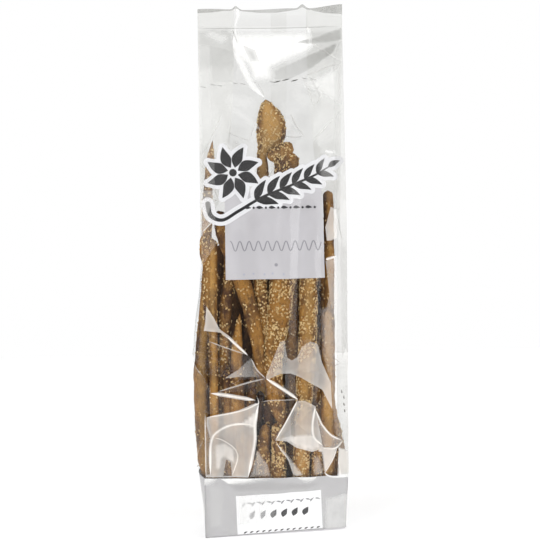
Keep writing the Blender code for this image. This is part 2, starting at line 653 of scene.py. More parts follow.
@dataclass(frozen=True)
class PaleFloor:
    """A plain white floor that stays pale out to its edge."""

    name: str = "pale_floor"
    colour: Triple = (0.93, 0.93, 0.93)
    worn: Triple = (0.9, 0.9, 0.9)
    wear: Pattern = Pattern(30.0, 2.0, 0.5, (0.2, 0.8), 0.15)
    roughness: float = 0.9
    glow: float = 0.45

    def material(self) -> bpy.types.Material:
        """Build the floor's nodes.

        Returns:
            The material.
        """
        graph = Graph(bpy.data.materials.new(self.name))
        values = {
            "Base Color": graph.blend(self.wear.cover(self.wear.cloud(graph)), self.colour, self.worn),
            "Roughness": self.roughness,
            "Emission Color": WHITE,
            "Emission Strength": self.glow,
            "Specular IOR Level": 0.0,
        }
        return graph.principled(values)


# ---- the bag's form


@dataclass
class BagForm:
    """The bag's outer form in millimetres, from the depth, crown, swell and folds at each height."""

    width: float = 100.0
    gusset: float = 50.0
    height: float = 366.0
    seal_bottom: float = 355.0
    seal_depth: float = 0.9
    base_depth: float = 43.0
    filled_depth: float = 44.6
    filled_bottom: float = 45.0
    filled_top: float = 218.0
    base_skew: float = 14.0
    skew_top: float = 50.0
    edge_lift: float = 0.8
    corner_lift: float = 2.2
    lift_top: float = 40.0
    front_crown: float = 3.6
    back_crown: float = 3.0
    crown_bottom: float = 50.0
    crown_top: float = 235.0
    left_swell: float = 7.8
    right_swell: float = 1.9
    swell_peak: float = 92.0
    swell_down: float = 88.0
    swell_up: float = 100.0
    fold_start: float = 196.0
    fold_full: float = 245.0
    ridge_foot: float = 40.0
    ridge_run_out: float = 30.0
    front_ridges: tuple = (
        (-20.0, -30.0, 232.0, 8.0, 0.5),
        (1.0, 10.0, 262.0, 11.0, 1.6),
        (22.0, 26.0, 238.0, 8.5, 0.8),
    )
    back_ridges: tuple = (
        (-36.0, -32.0, 226.0, 8.0, 0.9),
        (-14.0, -16.0, 236.0, 8.5, 1.2),
        (8.0, 2.0, 250.0, 8.5, 1.3),
        (31.0, 27.0, 230.0, 8.5, 1.0),
    )
    top_rise: float = 3.6
    top_rise_from: float = 0.72
    top_wave: Pair = (0.5, 9.0)
    top_curls: tuple = ((-23.5, 2.2, 2.6), (22.4, 2.6, 3.0))
    top_reach: float = 2.5
    shift: tuple = (0.0, 0.0)

    def align(self, node: str) -> None:
        """Line the form up with the solid, whose flat top edge lies over the film's middle.

        Args:
            node: the solid's name.
        """
        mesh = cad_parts[node].data
        places = np.array([v.co for v in mesh.vertices]) / MM
        rim = places[places[:, 2] > self.height - 1.0]
        left, right = rim[:, 0].min(), rim[:, 0].max()
        corner = rim[rim[:, 0] < left + 0.01]
        self.shift = ((left + right) / 2.0, corner[:, 1].mean())

    def aligned(self, points: Array) -> Array:
        """Points of the form moved into line with the solid."""
        return points + np.array([*self.shift, 0.0])

    def depth(self, z: Array) -> Array:
        """Depth between the front and back creases.

        Args:
            z: heights.

        Returns:
            The depth at each.
        """
        filled = self.base_depth + (self.filled_depth - self.base_depth) * smooth(0, self.filled_bottom, z)
        share = np.clip((z - self.filled_top) / (self.seal_bottom - self.filled_top), 0.0, 1.0)
        return filled + (self.seal_depth - self.filled_depth) * share

    def proud(self, x: Array, z: Array, height: float, sticks: tuple) -> Array:
        """How far a wide panel stands proud of its creases, with the ridges over the sticks behind it.

        Args:
            x: places across.
            z: heights.
            height: how far at mid width.
            sticks: foot, head, top, half width and height of each ridge.

        Returns:
            How far at each place.
        """
        u = np.clip(2.0 * x / self.width, -1.0, 1.0)
        crown = height * smooth(0, self.crown_bottom, z) * (1 - smooth(self.crown_top, self.seal_bottom, z))
        total = np.zeros_like(x)
        for foot, head, top, half_width, rise in sticks:
            centre = foot + (head - foot) * z / top
            across = 1.0 - smooth(0.0, half_width, np.abs(x - centre))
            along = smooth(0, self.ridge_foot, z) * (1 - smooth(top - self.ridge_run_out, top, z))
            total += rise * across * along
        return crown * (1.0 - u * u) + total

    def front_y(self, x: Array, z: Array) -> Array:
        """Depth of the front panel.

        Args:
            x: places across.
            z: heights.

        Returns:
            Its y there.
        """
        u = np.clip(2.0 * x / self.width, -1.0, 1.0)
        skew = self.base_skew * (1.0 - smooth(0.0, self.skew_top, z)) * (u + 1.0) / 2.0
        return skew - self.depth(z) / 2.0 - self.proud(x, z, self.front_crown, self.front_ridges)

    def back_y(self, x: Array, z: Array) -> Array:
        """Depth of the back panel at places across and up it."""
        return self.depth(z) / 2.0 + self.proud(x, z, self.back_crown, self.back_ridges)

    def swell(self, z: Array, height: float) -> Array:
        """How far a side stands out past the creases at mid depth."""
        away = np.abs(z - self.swell_peak) / np.where(z < self.swell_peak, self.swell_down, self.swell_up)
        return height * (1.0 - np.clip(away, 0.0, 1.0) * np.clip(away, 0.0, 1.0)) ** 1.5

    def fold(self, z: Array) -> Array:
        """How far the middle of a side is folded in, from the width of its film."""
        half = np.minimum(self.depth(z) / 2.0, self.gusset / 2.0)
        return np.sqrt((self.gusset / 2.0) ** 2 - half**2) * smooth(self.fold_start, self.fold_full, z)

    def side_x(self, side: int, t: Array, z: Array) -> Array:
        """Place across of a side at share t from the front crease to the back."""
        out = self.swell(z, self.left_swell if side < 0 else self.right_swell) * 4.0 * t * (1.0 - t)
        return side * (self.width / 2.0 + out - self.fold(z) * (1.0 - np.abs(2.0 * t - 1.0)))

    def lift(self, x: Array, y: Array, z: Array) -> Array:
        """How far a point stands above its level, at the rounded base and the wavy top edge.

        Args:
            x: places across.
            y: places in depth.
            z: levels.

        Returns:
            How far at each.
        """
        right = np.clip(x / self.width + 0.5, 0.0, 1.0)
        front = np.clip(0.5 - y / self.base_depth, 0.0, 1.0)
        low = (self.edge_lift + self.corner_lift * right * front) * (1.0 - smooth(0.0, self.lift_top, z))
        rise = self.top_rise * smooth(self.top_rise_from, 1.0, right)
        rise += self.top_wave[0] * np.sin(x / self.top_wave[1])
        curls = sum(height * np.exp(-(((x - at) / half) ** 2)) for at, half, height in self.top_curls)
        return low + (rise + curls) * smooth(self.height - self.top_reach, self.height, z)

    def point(self, panel: Panel, across: Array, z: Array, proud: Array) -> Array:
        """Points of a panel of film.

        Args:
            panel: which panel.
            across: places from its middle to the right, as seen from outside.
            z: heights along it.
            proud: how far each point stands out of the form.

        Returns:
            n by 3 array, aligned with the solid.
        """
        if panel in (Panel.FRONT, Panel.BACK):
            side = 1.0 if panel is Panel.FRONT else -1.0
            x = across * side
            y = self.front_y(x, z) - proud if side > 0 else self.back_y(x, z) + proud
        else:
            side = 1 if panel is Panel.RIGHT else -1
            t = 0.5 + side * across / self.gusset
            edge = np.full_like(z, side * self.width / 2.0)
            y = self.front_y(edge, z) * (1.0 - t) + self.back_y(edge, z) * t
            x = self.side_x(side, t, z) + side * proud
        return self.aligned(np.stack([x, y, z + self.lift(x, y, z)], axis=1))

    def half_width(self, panel: Panel) -> float:
        """Half the width of a panel's film."""
        return (self.width if panel in (Panel.FRONT, Panel.BACK) else self.gusset) / 2.0


# ---- creases and painted glare and shade


@dataclass
class FoldNet:
    """A net of flat facets that gives a panel its crumpled depth."""

    nodes: Points
    creases: list = field(default_factory=list)

    def __post_init__(self) -> None:
        """Join the nodes into facets, keeping the named creases as edges."""
        flat = [Vector((x, z)) for x, z, _ in self.nodes]
        verts, edges, faces, origins, _, _ = delaunay_2d_cdt(flat, self.creases, [], 0, MERGED, True)
        self.points = np.array([(*v, 0.0) for v in verts])
        for i, sources in enumerate(origins):
            if sources:
                self.points[i, 2] = self.nodes[sources[0]][2]
        self.facets = [tuple(f) for f in faces]
        self.edges = [tuple(e) for e in edges]

    def lines(self, step: float) -> list[Array]:
        """The facets' edges as lines for a finer mesh to follow."""
        return [straight_through(self.points[list(e), :2], step) for e in self.edges]

    def proud(self, places: Array) -> Array:
        """Read the depth at places across and up the panel.

        Args:
            places: n by 2 array.

        Returns:
            n depths, positive outwards.
        """
        result = np.zeros(len(places))
        for a, b, c in self.facets:
            (xa, za, ha), (xb, zb, hb), (xc, zc, hc) = self.points[a], self.points[b], self.points[c]
            area = (xb - xa) * (zc - za) - (xc - xa) * (zb - za)
            if abs(area) < TINY:
                continue
            near_b = ((places[:, 0] - xa) * (zc - za) - (xc - xa) * (places[:, 1] - za)) / area
            near_c = ((xb - xa) * (places[:, 1] - za) - (places[:, 0] - xa) * (zb - za)) / area
            near_a = 1.0 - near_b - near_c
            held = np.minimum(np.minimum(near_a, near_b), near_c) > -10.0 * TINY
            result[held] = (near_a * ha + near_b * hb + near_c * hc)[held]
        return result


@dataclass(frozen=True)
class Glare:
    """A patch of painted glare (white) or painted shade (grey) on the film, even or fading from one place to
    another.
    """

    outline: tuple
    painted_glare: float = 0.0
    shade: float = 0.0
    fade_from: Pair | None = None
    fade_to: Pair | None = None
    under: float = 1.0
    rim: float = 0.0
    soft: float = 0.0
    step: float = 1.2
    rim_width: float = 1.6

    def border(self) -> Array:
        """The patch's closed outline, divided into steps."""
        return looped(straight_through(self.outline, self.step, True))

    def strength(self, places: Array) -> Array:
        """How strong the patch is at each place, from 0 to 1.

        Args:
            places: n by 2 array.

        Returns:
            n shares, 0 outside the patch.
        """
        border = self.border()
        held = inside(places, border[:-1]).astype(float)
        if self.fade_from and self.fade_to:
            start, end = np.array(self.fade_from), np.array(self.fade_to)
            run = end - start
            held *= 1.0 - smooth(0.0, 1.0, ((places - start) @ run) / (run @ run))
        if self.soft:
            gap = distance_to_line(places, border, GLARE_REACH)
            held *= np.where(held > 0, smooth(0.0, self.soft, np.where(np.isinf(gap), 0.0, gap)), 0.0)
        return held

    def white(self, places: Array, held: Array) -> Array:
        """Painted glare of the patch at each place, with a painted highlight along its outline where it has a
        rim.

        Args:
            places: n by 2 array.
            held: how strong the patch is there.

        Returns:
            n shares.
        """
        bright = self.painted_glare * held
        if self.rim:
            gap = distance_to_line(places, self.border(), GLARE_REACH)
            bright += np.where(held > 0, self.rim * np.exp(-((gap / self.rim_width) ** 2)), 0.0)
        return bright


@dataclass(frozen=True)
class Crease:
    """A sharp fold: a narrow raised line that catches some real light, with painted glare or painted shade
    along it, and draws in to nothing at its ends.
    """

    route: tuple
    width: float = 0.8
    painted_glare: float = 0.8
    shade: float = 0.0
    height: float = 0.35
    step: float = 1.2
    coarse_step: float = 2.0
    taper: float = 1.6
    ridge_reach: Pair = (0.6, 0.2)
    edge_loss: float = 0.75

    def line(self) -> Array:
        """The fold's middle line."""
        return curve_through(self.route, self.step)

    def edges(self) -> list[Array]:
        """The two sides of the fold.

        Returns:
            The left line and the right one.
        """
        middle = self.line()
        share = np.linspace(0.0, 1.0, len(middle))
        half = 0.5 * self.width * np.clip(np.sin(np.pi * share) * self.taper, 0.0, 1.0)
        out = left_of(directions(middle)) * half[:, None]
        return [middle + out, middle - out]

    def ridge(self, places: Array) -> Array:
        """How far the fold stands out at each place.

        Args:
            places: n by 2 array.

        Returns:
            n heights.
        """
        gap = distance_to_line(places, curve_through(self.route, self.coarse_step), CREASE_REACH)
        reach = self.ridge_reach[0] * self.width + self.ridge_reach[1]
        return self.height * np.clip(1.0 - gap / reach, 0.0, 1.0)

    def strength(self, places: Array) -> Array:
        """How strong the fold's painted glare or shade is at each place: 1 along its middle, less at its
        sides, 0 outside it.

        Args:
            places: n by 2 array.

        Returns:
            n shares.
        """
        left, right = self.edges()
        held = inside(places, np.vstack([left, right[::-1]]))
        off = np.clip(distance_to_line(places, self.line(), CREASE_REACH) / (0.5 * self.width), 0.0, 1.0)
        return np.where(held, 1.0 - self.edge_loss * off**2, 0.0)


# ---- meshes that follow the film


def divide(lines: list[Array], corners: tuple, spacing: float) -> Mesh:
    """Divide a flat rectangle into triangles that follow the given lines.

    Args:
        lines: lines to keep as edges; what leaves the rectangle is drawn back to its edge.
        corners: lowest and highest corner of the rectangle.
        spacing: distance between the points away from the lines.

    Returns:
        The points and the triangles.
    """
    stagger, clear = 0.25, 0.45 * spacing
    low, high = np.array(corners[0], float), np.array(corners[1], float)
    points, edges = [], []
    for line in lines:
        start = len(points)
        points += [Vector(p) for p in np.clip(line, low, high)]
        edges += [(start + i, start + i + 1) for i in range(len(line) - 1)]
    near = KDTree(max(1, len(points)))
    for i, point in enumerate(points):
        near.insert((*point, 0.0), i)
    near.balance()
    columns, rows = (max(1, int(round(side / spacing))) for side in high - low)
    for row in range(rows + 1):
        for column in range(columns + 1):
            rim = row in (0, rows) or column in (0, columns)
            slide = 0.0 if rim else (stagger if row % 2 else -stagger)
            x = low[0] + (high[0] - low[0]) * (column + slide) / columns
            z = low[1] + (high[1] - low[1]) * row / rows
            gap = near.find((x, z, 0.0))[2] if points else None
            if rim or gap is None or gap > clear:
                points.append(Vector((x, z)))
    verts, _, faces, _, _, _ = delaunay_2d_cdt(points, edges, [], 0, MERGED, False)
    return np.array([tuple(v) for v in verts]), np.array([f for f in faces if len(f) == 3])


def trimmed(places: Array, faces: Array, outlines: list[Array]) -> Mesh:
    """Keep the triangles that lie inside outlines, and the points that they use.

    Args:
        places: flat points.
        faces: triangles.
        outlines: closed outlines.

    Returns:
        What is kept.
    """
    centres = places[faces].mean(axis=1)
    kept = np.any([inside(centres, outline) for outline in outlines], axis=0)
    used, faces = np.unique(faces[kept], return_inverse=True)
    return places[used], faces.reshape(-1, 3)


@dataclass
class FilmSheet:
    """One panel of film: its folds, creases, and patches of painted glare and shade."""

    panel: Panel
    form: BagForm
    net: FoldNet
    creases: tuple = ()
    glares: tuple = ()
    spacing: float = 2.2
    drawn_in: float = 0.15

    def proud(self, places: Array) -> Array:
        """How far the film stands out of the form, with its creases' ridges.

        Args:
            places: n by 2 array.

        Returns:
            How far at each place.
        """
        total = self.net.proud(places)
        for crease in self.creases:
            total += crease.ridge(places)
        return total

    def points(self, places: Array, sunk: Array | float = 0.0) -> Array:
        """Points of the film at places on the panel, or of what lies inside it by so much."""
        return self.form.point(self.panel, places[:, 0], places[:, 1], self.proud(places) - sunk)

    def marks(self, places: Array, faces: Array) -> dict[str, Array]:
        """Painted glare and painted shade at each corner of each face, read a little inside the face.

        Args:
            places: the points on the panel.
            faces: the triangles.

        Returns:
            Values for the film's finish.
        """
        corners = places[faces]
        middles = corners.mean(axis=1, keepdims=True)
        reads = (corners + (middles - corners) * self.drawn_in).reshape(-1, 2)
        painted_glare, shade = np.zeros(len(reads)), np.zeros(len(reads))
        for glare in self.glares:
            held = glare.strength(reads)
            under = np.where(held > 0, glare.under, 1.0)
            painted_glare = np.maximum(painted_glare * under, glare.white(reads, held))
            shade = np.maximum(shade * under, glare.shade * held)
        for crease in self.creases:
            held = crease.strength(reads)
            painted_glare = np.maximum(painted_glare, crease.painted_glare * held)
            shade = np.maximum(shade, crease.shade * held)
        return {"painted_glare": painted_glare, "shade": shade}

    def mesh(self) -> tuple[Array, Array, dict[str, Array]]:
        """Build the sheet.

        Returns:
            Points, triangles wound to face outwards, and the faces' marks.
        """
        half = self.form.half_width(self.panel)
        lines = [*self.net.lines(self.spacing), *(glare.border() for glare in self.glares)]
        for crease in self.creases:
            lines += [crease.line(), *crease.edges()]
        places, faces = divide(lines, ((-half, 0.0), (half, self.form.height)), self.spacing)
        return self.points(places), faces, self.marks(places, faces)


@dataclass
class BottomFold:
    """The folded block bottom: an outline at the sheets' foot, drawn in to the flat base."""

    form: BagForm
    inset: float = 3.5
    inset_power: float = 0.6
    clearance: float = 0.05
    flap: float = 0.35
    flap_reach: float = 24.0
    flap_soft: float = 2.0
    seam_back: float = 6.0
    seam_share: float = 0.6
    margin: float = 1.0
    spacing: float = 2.0

    def rim(self) -> Array:
        """The outline at the sheets' foot.

        Returns:
            n by 3 array.
        """
        sides = []
        for panel in Panel:
            half = self.form.half_width(panel)
            run = np.linspace(-half, half, int(round(2.0 * half / self.spacing)) + 1)[:-1]
            sides.append(self.form.point(panel, run, np.zeros_like(run), np.zeros_like(run)))
        return np.vstack(sides)

    def mesh(self) -> Mesh:
        """Build the bottom, with the steps of its folded flaps.

        Returns:
            Points and triangles.
        """
        rim = self.rim()
        outline = rim[:, :2]
        low, high = outline.min(axis=0), outline.max(axis=0)
        middle = (low[1] + high[1]) / 2.0
        flaps = [
            np.array([(x, low[1]), (x + reach, middle), (x, high[1])])
            for x, reach in ((low[0], self.flap_reach), (high[0], -self.flap_reach))
        ]
        back = middle + self.seam_back
        seam = np.array([(low[0], back), (high[0], back)])
        lines = [looped(outline), *(straight_through(line, self.spacing) for line in (*flaps, seam))]
        places, faces = divide(lines, (low - self.margin, high + self.margin), self.spacing)
        places, faces = trimmed(places, faces, [outline])
        gap = distance_to_line(places, looped(outline))
        near = [np.argmin(np.linalg.norm(outline - p, axis=1)) for p in places]
        drawn = 1.0 - np.clip(gap / self.inset, 0.0, 1.0) ** self.inset_power
        under = np.maximum.reduce([inside(places, f) * self.flap for f in flaps])
        under = np.maximum(under, (places[:, 1] > back) * self.flap * self.seam_share)
        under *= np.clip(gap / self.flap_soft, 0, 1)
        height = rim[near, 2] * drawn + self.clearance + under * (1.0 - drawn)
        return np.column_stack([places, height]), faces[:, ::-1]


@dataclass
class BackSeam:
    """The fin seam up the back: a strip of film laid over to one side, with pressed ribs."""

    sheet: FilmSheet
    middle: float = -6.0
    width: float = 11.0
    low: float = 1.0
    high: float = 364.0
    stand: Pair = (0.06, 0.45)
    rib: float = 0.09
    rib_pitch: float = 2.4
    rib_start: Pair = (0.1, 0.3)
    columns: int = 7
    row_step: float = 0.6
    # Faint painted glare over the seam
    painted_glare: float = 0.02

    def mesh(self) -> tuple[Array, Array, dict[str, Array]]:
        """Build the strip, joined to the panel along one edge.

        Returns:
            Points, triangles and the faces' marks.
        """
        levels = np.arange(self.low, self.high, self.row_step)
        share, z = (a.ravel() for a in np.meshgrid(np.linspace(0.0, 1.0, self.columns), levels))
        across = self.middle + self.width * (share - 0.5)
        wave = self.rib * np.sin(2 * math.pi * z / self.rib_pitch) * smooth(*self.rib_start, share)
        stand = self.stand[0] + self.stand[1] * np.sqrt(share) + wave
        points = self.sheet.points(np.column_stack([across, z]), -stand)
        faces = halved(grid_faces(len(levels), self.columns))
        return points, faces, {"painted_glare": np.full(faces.size, self.painted_glare), "shade": np.zeros(faces.size)}


# ---- printed shapes


def brush(route: Points, widths: Points, extra: float = 0.0, step: float = 1.0) -> Array:
    """Outline of a brush stroke with round ends.

    Args:
        route: points along its middle.
        widths: half width at each point.
        extra: how far the outline stands out of the stroke all round.
        step: spacing along it.

    Returns:
        n by 2 array of corners.
    """
    finest = 0.12
    path = curve_through([(*p, w) for p, w in zip(route, widths)], step)
    middle, half = path[:, :2], np.maximum(path[:, 2], finest) + extra
    run = directions(middle)
    across = left_of(run)
    ends = []
    for at, first in ((-1, 0.5), (0, -0.5)):
        count = max(3, int(half[at] / step * 3) + 2)
        bend = np.linspace(first * math.pi, (first - 1.0) * math.pi, count)[1:-1, None]
        ends.append(middle[at] + half[at] * (np.cos(bend) * run[at] + np.sin(bend) * across[at]))
    left, right = middle + across * half[:, None], middle - across * half[:, None]
    return np.vstack([left, ends[0], right[::-1], ends[1]])


def leaf(foot: Points, angle: float, length: float, width: float, extra: float = 0.0) -> Array:
    """Outline of a pointed grain or leaf.

    Args:
        foot: where it starts.
        angle: its direction in degrees from the right, anticlockwise.
        length: from foot to tip.
        width: at its widest.
        extra: how far the outline stands out all round.

    Returns:
        n by 2 array of corners.
    """
    ahead = heading(angle)
    shares = (0.0, 0.2, 0.42, 0.7, 1.0)
    bends = (0.0, 0.04, 0.06, 0.04, -0.02)
    halves = (0.05, 0.36, 0.5, 0.33, 0.03)
    route = [np.array(foot) + ahead * length * s + left_of(ahead) * length * b for s, b in zip(shares, bends)]
    return brush(route, [width * half for half in halves], extra)


def dot(middle: Points, radius: float, corners: int = 14) -> Array:
    """Outline of a round dot."""
    return np.array(middle) + radius * np.column_stack([np.cos(turns(corners)), np.sin(turns(corners))])


@dataclass
class Print:
    """Ink on a sheet of film: outlines filled with one colour, just inside the film."""

    sheet: FilmSheet
    outlines: list
    sunk: float = 0.12
    spacing: float = 2.2
    margin: float = 0.4

    def mesh(self) -> Mesh:
        """Fill the outlines.

        Returns:
            Points and triangles.
        """
        corners = np.vstack(self.outlines)
        low, high = corners.min(axis=0) - self.margin, corners.max(axis=0) + self.margin
        lines = [looped(outline) for outline in self.outlines]
        for line in self.sheet.net.lines(self.spacing):
            if ((line > low) & (line < high)).all(axis=1).any():
                lines.append(line)
        places, faces = trimmed(*divide(lines, (low, high), self.spacing), self.outlines)
        return self.sheet.points(places, self.sunk), faces


@dataclass
class Sprig:
    """The ornament over the middle of the front: a flower, and an ear of grain that rises to the right."""

    stem: tuple = ((-45, 233), (-43, 225), (-35, 222), (-24, 228), (-8, 237), (12, 245), (27, 251), (38, 257))
    stem_half: tuple = (1.7, 1.5, 1.1, 1.0, 0.9, 0.8, 0.7, 0.4)
    flower: Pair = (-27.5, 254.0)
    petals: int = 8
    petal_foot: float = 4.0
    petal_length: float = 14.5
    petal_width: float = 7.4
    eye: float = 2.6
    first_grain: float = -12.0
    pitch: float = 8.4
    grains: int = 6
    grain_length: float = 15.5
    grain_width: float = 5.6
    grain_shrink: float = 0.05
    spread: float = 36.0
    stem_step: float = 0.5
    stem_bend: int = 20
    tip_angle: float = 30.0
    tip_size: Pair = (0.6, 0.7)
    halo: float = 2.7

    def shapes(self, extra: float = 0.0) -> list[Array]:
        """The ornament's outlines, or those of the halo round it.

        Args:
            extra: how far they stand out all round.

        Returns:
            The outlines.
        """
        outlines = [brush(self.stem, self.stem_half, extra), dot(self.flower, self.eye + extra)]
        for i in range(self.petals):
            turn = 360.0 * (i + 0.5) / self.petals
            foot = np.array(self.flower) + heading(turn) * self.petal_foot
            outlines.append(leaf(foot, turn, self.petal_length, self.petal_width, extra))
        line = curve_through(self.stem, self.stem_step)
        for i in range(self.grains):
            x = self.first_grain + self.pitch * i
            at = int(np.argmin(np.abs(line[self.stem_bend :, 0] - x))) + self.stem_bend
            slope = math.degrees(math.atan2(*(line[at + 1] - line[at - 1])[::-1]))
            size = 1.0 - self.grain_shrink * i
            for side in (1.0, -1.0):
                shape = (self.grain_length * size, self.grain_width * size, extra)
                outlines.append(leaf(line[at], slope + side * self.spread, *shape))
        long, wide = self.tip_size
        tip = leaf(line[-1], self.tip_angle, long * self.grain_length, wide * self.grain_width, extra)
        return [*outlines, tip]


@dataclass(frozen=True)
class Dashes:
    """Dashes along the tear line: where they are, their half length and height, and their tilt."""

    across: tuple
    half_length: float
    half_height: float
    tilt: float
    level: float = 312.8
    first: float = -47.0
    slope: float = 0.062
    step_up: float = 0.9
    ends: Pair = (0.12, 0.14)

    def shapes(self) -> list[Array]:
        """Their outlines.

        Returns:
            The outlines.
        """
        outlines = []
        for i, x in enumerate(self.across):
            z = self.level + (x - self.first) * self.slope + (self.step_up if i % 2 else 0.0)
            drop, half = self.tilt * self.half_length / 2, self.half_length
            route = ((x - half, z - drop), (x, z), (x + half, z + drop))
            outlines.append(brush(route, (self.ends[0], self.half_height, self.ends[1])))
        return outlines


@dataclass(frozen=True)
class LeafRow:
    """Leaves or seeds in a row, where each second one may stand higher and lean the other way."""

    across: Points
    level: float
    slope: float
    angle: float
    length: float
    width: float
    step_up: float = 0.0
    turn: float = 0.0

    def shapes(self) -> list[Array]:
        """Their outlines."""
        rows = [(x, self.level + self.slope * x, i % 2) for i, x in enumerate(self.across)]
        size = (self.length, self.width)
        return [leaf((x, z + self.step_up * up), self.angle - self.turn * up, *size) for x, z, up in rows]


@dataclass
class FrontArtwork:
    """All ink on the front panel, from the tear line at the top to the label at the bottom."""

    sheet: FilmSheet
    sprig: Sprig = field(default_factory=Sprig)
    panel: tuple = ((-33.5, 181.0), (34.5, 181.5), (33.0, 243.0), (-33.5, 240.0))
    motif_level: float = 230.0
    motif_ends: Pair = (-18.0, 28.0)
    motifs: int = 12
    motif_dot: float = 0.8
    motif_leaf: Pair = (4.6, 2.2)
    wave_ends: Pair = (-30.0, 32.0)
    wave_points: int = 125
    wave_level: float = 204.0
    wave_height: float = 3.4
    wave_half: float = 0.4
    wave_dot: Triple = (1.0, 191.0, 1.2)
    spot_places: tuple = (-21, -14.5, -7, -1.5, 6)
    spot_level: float = 184.6
    spot_radius: float = 0.75
    dashes: Dashes = Dashes((-47.0, -40.0, -35.5, -25.0, -19.5, -12.5, 0.5, 23.0, 29.0), 1.7, 0.22, -0.45)
    slots: Dashes = Dashes((4.0, 10.0, 16.0), 2.3, 0.42, 0.5)
    label: tuple = ((-28.5, 30.0), (31.0, 32.5), (33.0, 0.5), (-27.5, 0.5))
    edge_leaves: tuple = ((46, 101), (47.5, 97), (47.5, 92), (48, 87.5))
    outline_step: float = 2.0
    sharp: float = 25.0

    def motif_row(self) -> list[Array]:
        """An even border of small leaves with a dot between each two.

        Returns:
            Their outlines.
        """
        first, last = self.motif_ends
        length, width = self.motif_leaf
        outlines = []
        for i in range(self.motifs):
            middle = (first + (last - first) * i / (self.motifs - 1), self.motif_level)
            foot = (middle[0] - length / 2.0, middle[1])
            outlines.append(dot(middle, self.motif_dot) if i % 2 else leaf(foot, 0.0, length, width))
        return outlines

    def ripple(self) -> list[Array]:
        """A faint even wave over the tinted panel, with a dot under it.

        Returns:
            Their outlines.
        """
        across = np.linspace(*self.wave_ends, self.wave_points)
        route = np.column_stack([across, self.wave_level + self.wave_height * np.sin(across)])
        x, z, radius = self.wave_dot
        return [brush(route, np.full(len(route), self.wave_half)), dot((x, z), radius)]

    def spots(self) -> list[Array]:
        """Tiny spots along the foot of the tinted panel."""
        places = [(x, self.spot_level + 0.5 * (i % 2)) for i, x in enumerate(self.spot_places)]
        return [dot(place_at, self.spot_radius) for place_at in places]

    def label_seeds(self) -> list[Array]:
        """Bold seeds on the label, and the row under them that the fold cuts."""
        bold = LeafRow((-3, 4.5, 12, 19.5), 11.4, 0.03, 68.0, 7.2, 4.3)
        return bold.shapes() + LeafRow(np.arange(-23.0, 29.0, 4.3), 1.0, 0.0, 25.0, 2.6, 1.2).shapes()

    def label_leaves(self) -> list[Array]:
        """Grey seeds on the label, and a thin row of leaves that lean both ways."""
        grey = LeafRow((-18, -10.5), 11.2, 0.0, 68.0, 7.0, 3.6)
        thin = LeafRow(np.arange(-24.0, 28.0, 3.4), 22.3, 0.035, 55.0, 3.9, 1.25, 2.6, 70.0)
        return grey.shapes() + thin.shapes()

    def build(self) -> None:
        """Build every ink and place it."""
        tinted = [straight_through(self.panel, self.outline_step, True)]
        label = [straight_through(self.label, self.outline_step, True)]
        edge = [leaf(foot, 100.0, 2.4, 1.1) for foot in self.edge_leaves]
        halo = self.sprig.shapes(self.sprig.halo)
        layers = (
            ("tinted_panel", tinted, 0.40, Ink("lilac_ink", linear(211, 209, 214), 0.93, 0.05)),
            ("pale_halo", halo, 0.32, Ink("halo_ink", linear(245, 245, 249), 0.97, 0.02)),
            ("grain_sprig", self.sprig.shapes(), 0.24, Ink("black_ink", linear(38, 37, 40), 1.0, 0.1)),
            ("small_motifs", self.motif_row(), 0.24, Ink("motif_ink", linear(58, 57, 62), 1.0, 0.1)),
            ("grey_ripple", self.ripple(), 0.32, Ink("grey_ink", linear(172, 170, 178), 0.85, 0.1)),
            ("lilac_spots", self.spots(), 0.32, Ink("spot_ink", linear(196, 198, 214), 0.9, 0.05)),
            ("tear_dashes", self.dashes.shapes(), 0.16, Ink("tear_ink", linear(128, 128, 124), 0.75, 0.1)),
            ("tear_slots", self.slots.shapes(), 0.16, Ink("slot_ink", linear(66, 66, 62), 0.95, 0.1)),
            ("foot_label", label, 0.32, Ink("label_white", linear(250, 250, 252), 1.0, 0.02)),
            ("label_seeds", self.label_seeds(), 0.24, Ink("label_black", linear(44, 44, 46), 1.0, 0.1)),
            ("label_leaves", self.label_leaves(), 0.24, Ink("label_grey", linear(140, 140, 144), 1.0, 0.1)),
            ("edge_marks", edge, 0.16, Ink("edge_ink", linear(92, 94, 84), 0.95, 0.1)),
        )
        for name, outlines, sunk, ink in layers:
            points, faces = Print(self.sheet, outlines, sunk).mesh()
            place(new_object(name, points * MM, faces, ink.material(), self.sharp), Slot.INK)


@dataclass
class SilverBand:
    """The silver print round the foot, and the folded bottom."""

    sheets: dict
    height: float = 43.2
    sunk: float = 0.50
    outline_step: float = 2.0
    sharp: float = 20.0
    ink: Ink = Ink("silver_ink", linear(194, 193, 195), 1.0, 0.03, 0.34, 0.35)

    def build(self) -> None:
        """Build the band on the four panels with the bottom below, and place them."""
        material = self.ink.material()
        parts = []
        for panel, sheet in self.sheets.items():
            half = sheet.form.half_width(panel)
            corners = ((-half, 0.0), (half, 0.0), (half, self.height), (-half, self.height))
            outline = straight_through(corners, self.outline_step, True)
            parts.append(Print(sheet, [outline], self.sunk).mesh())
        bottom = BottomFold(self.sheets[Panel.FRONT].form).mesh()
        for name, (points, faces) in (("silver_band", joined(parts)), ("folded_bottom", bottom)):
            place(new_object(name, points * MM, faces, material, self.sharp), Slot.INK)


# ---- breadsticks


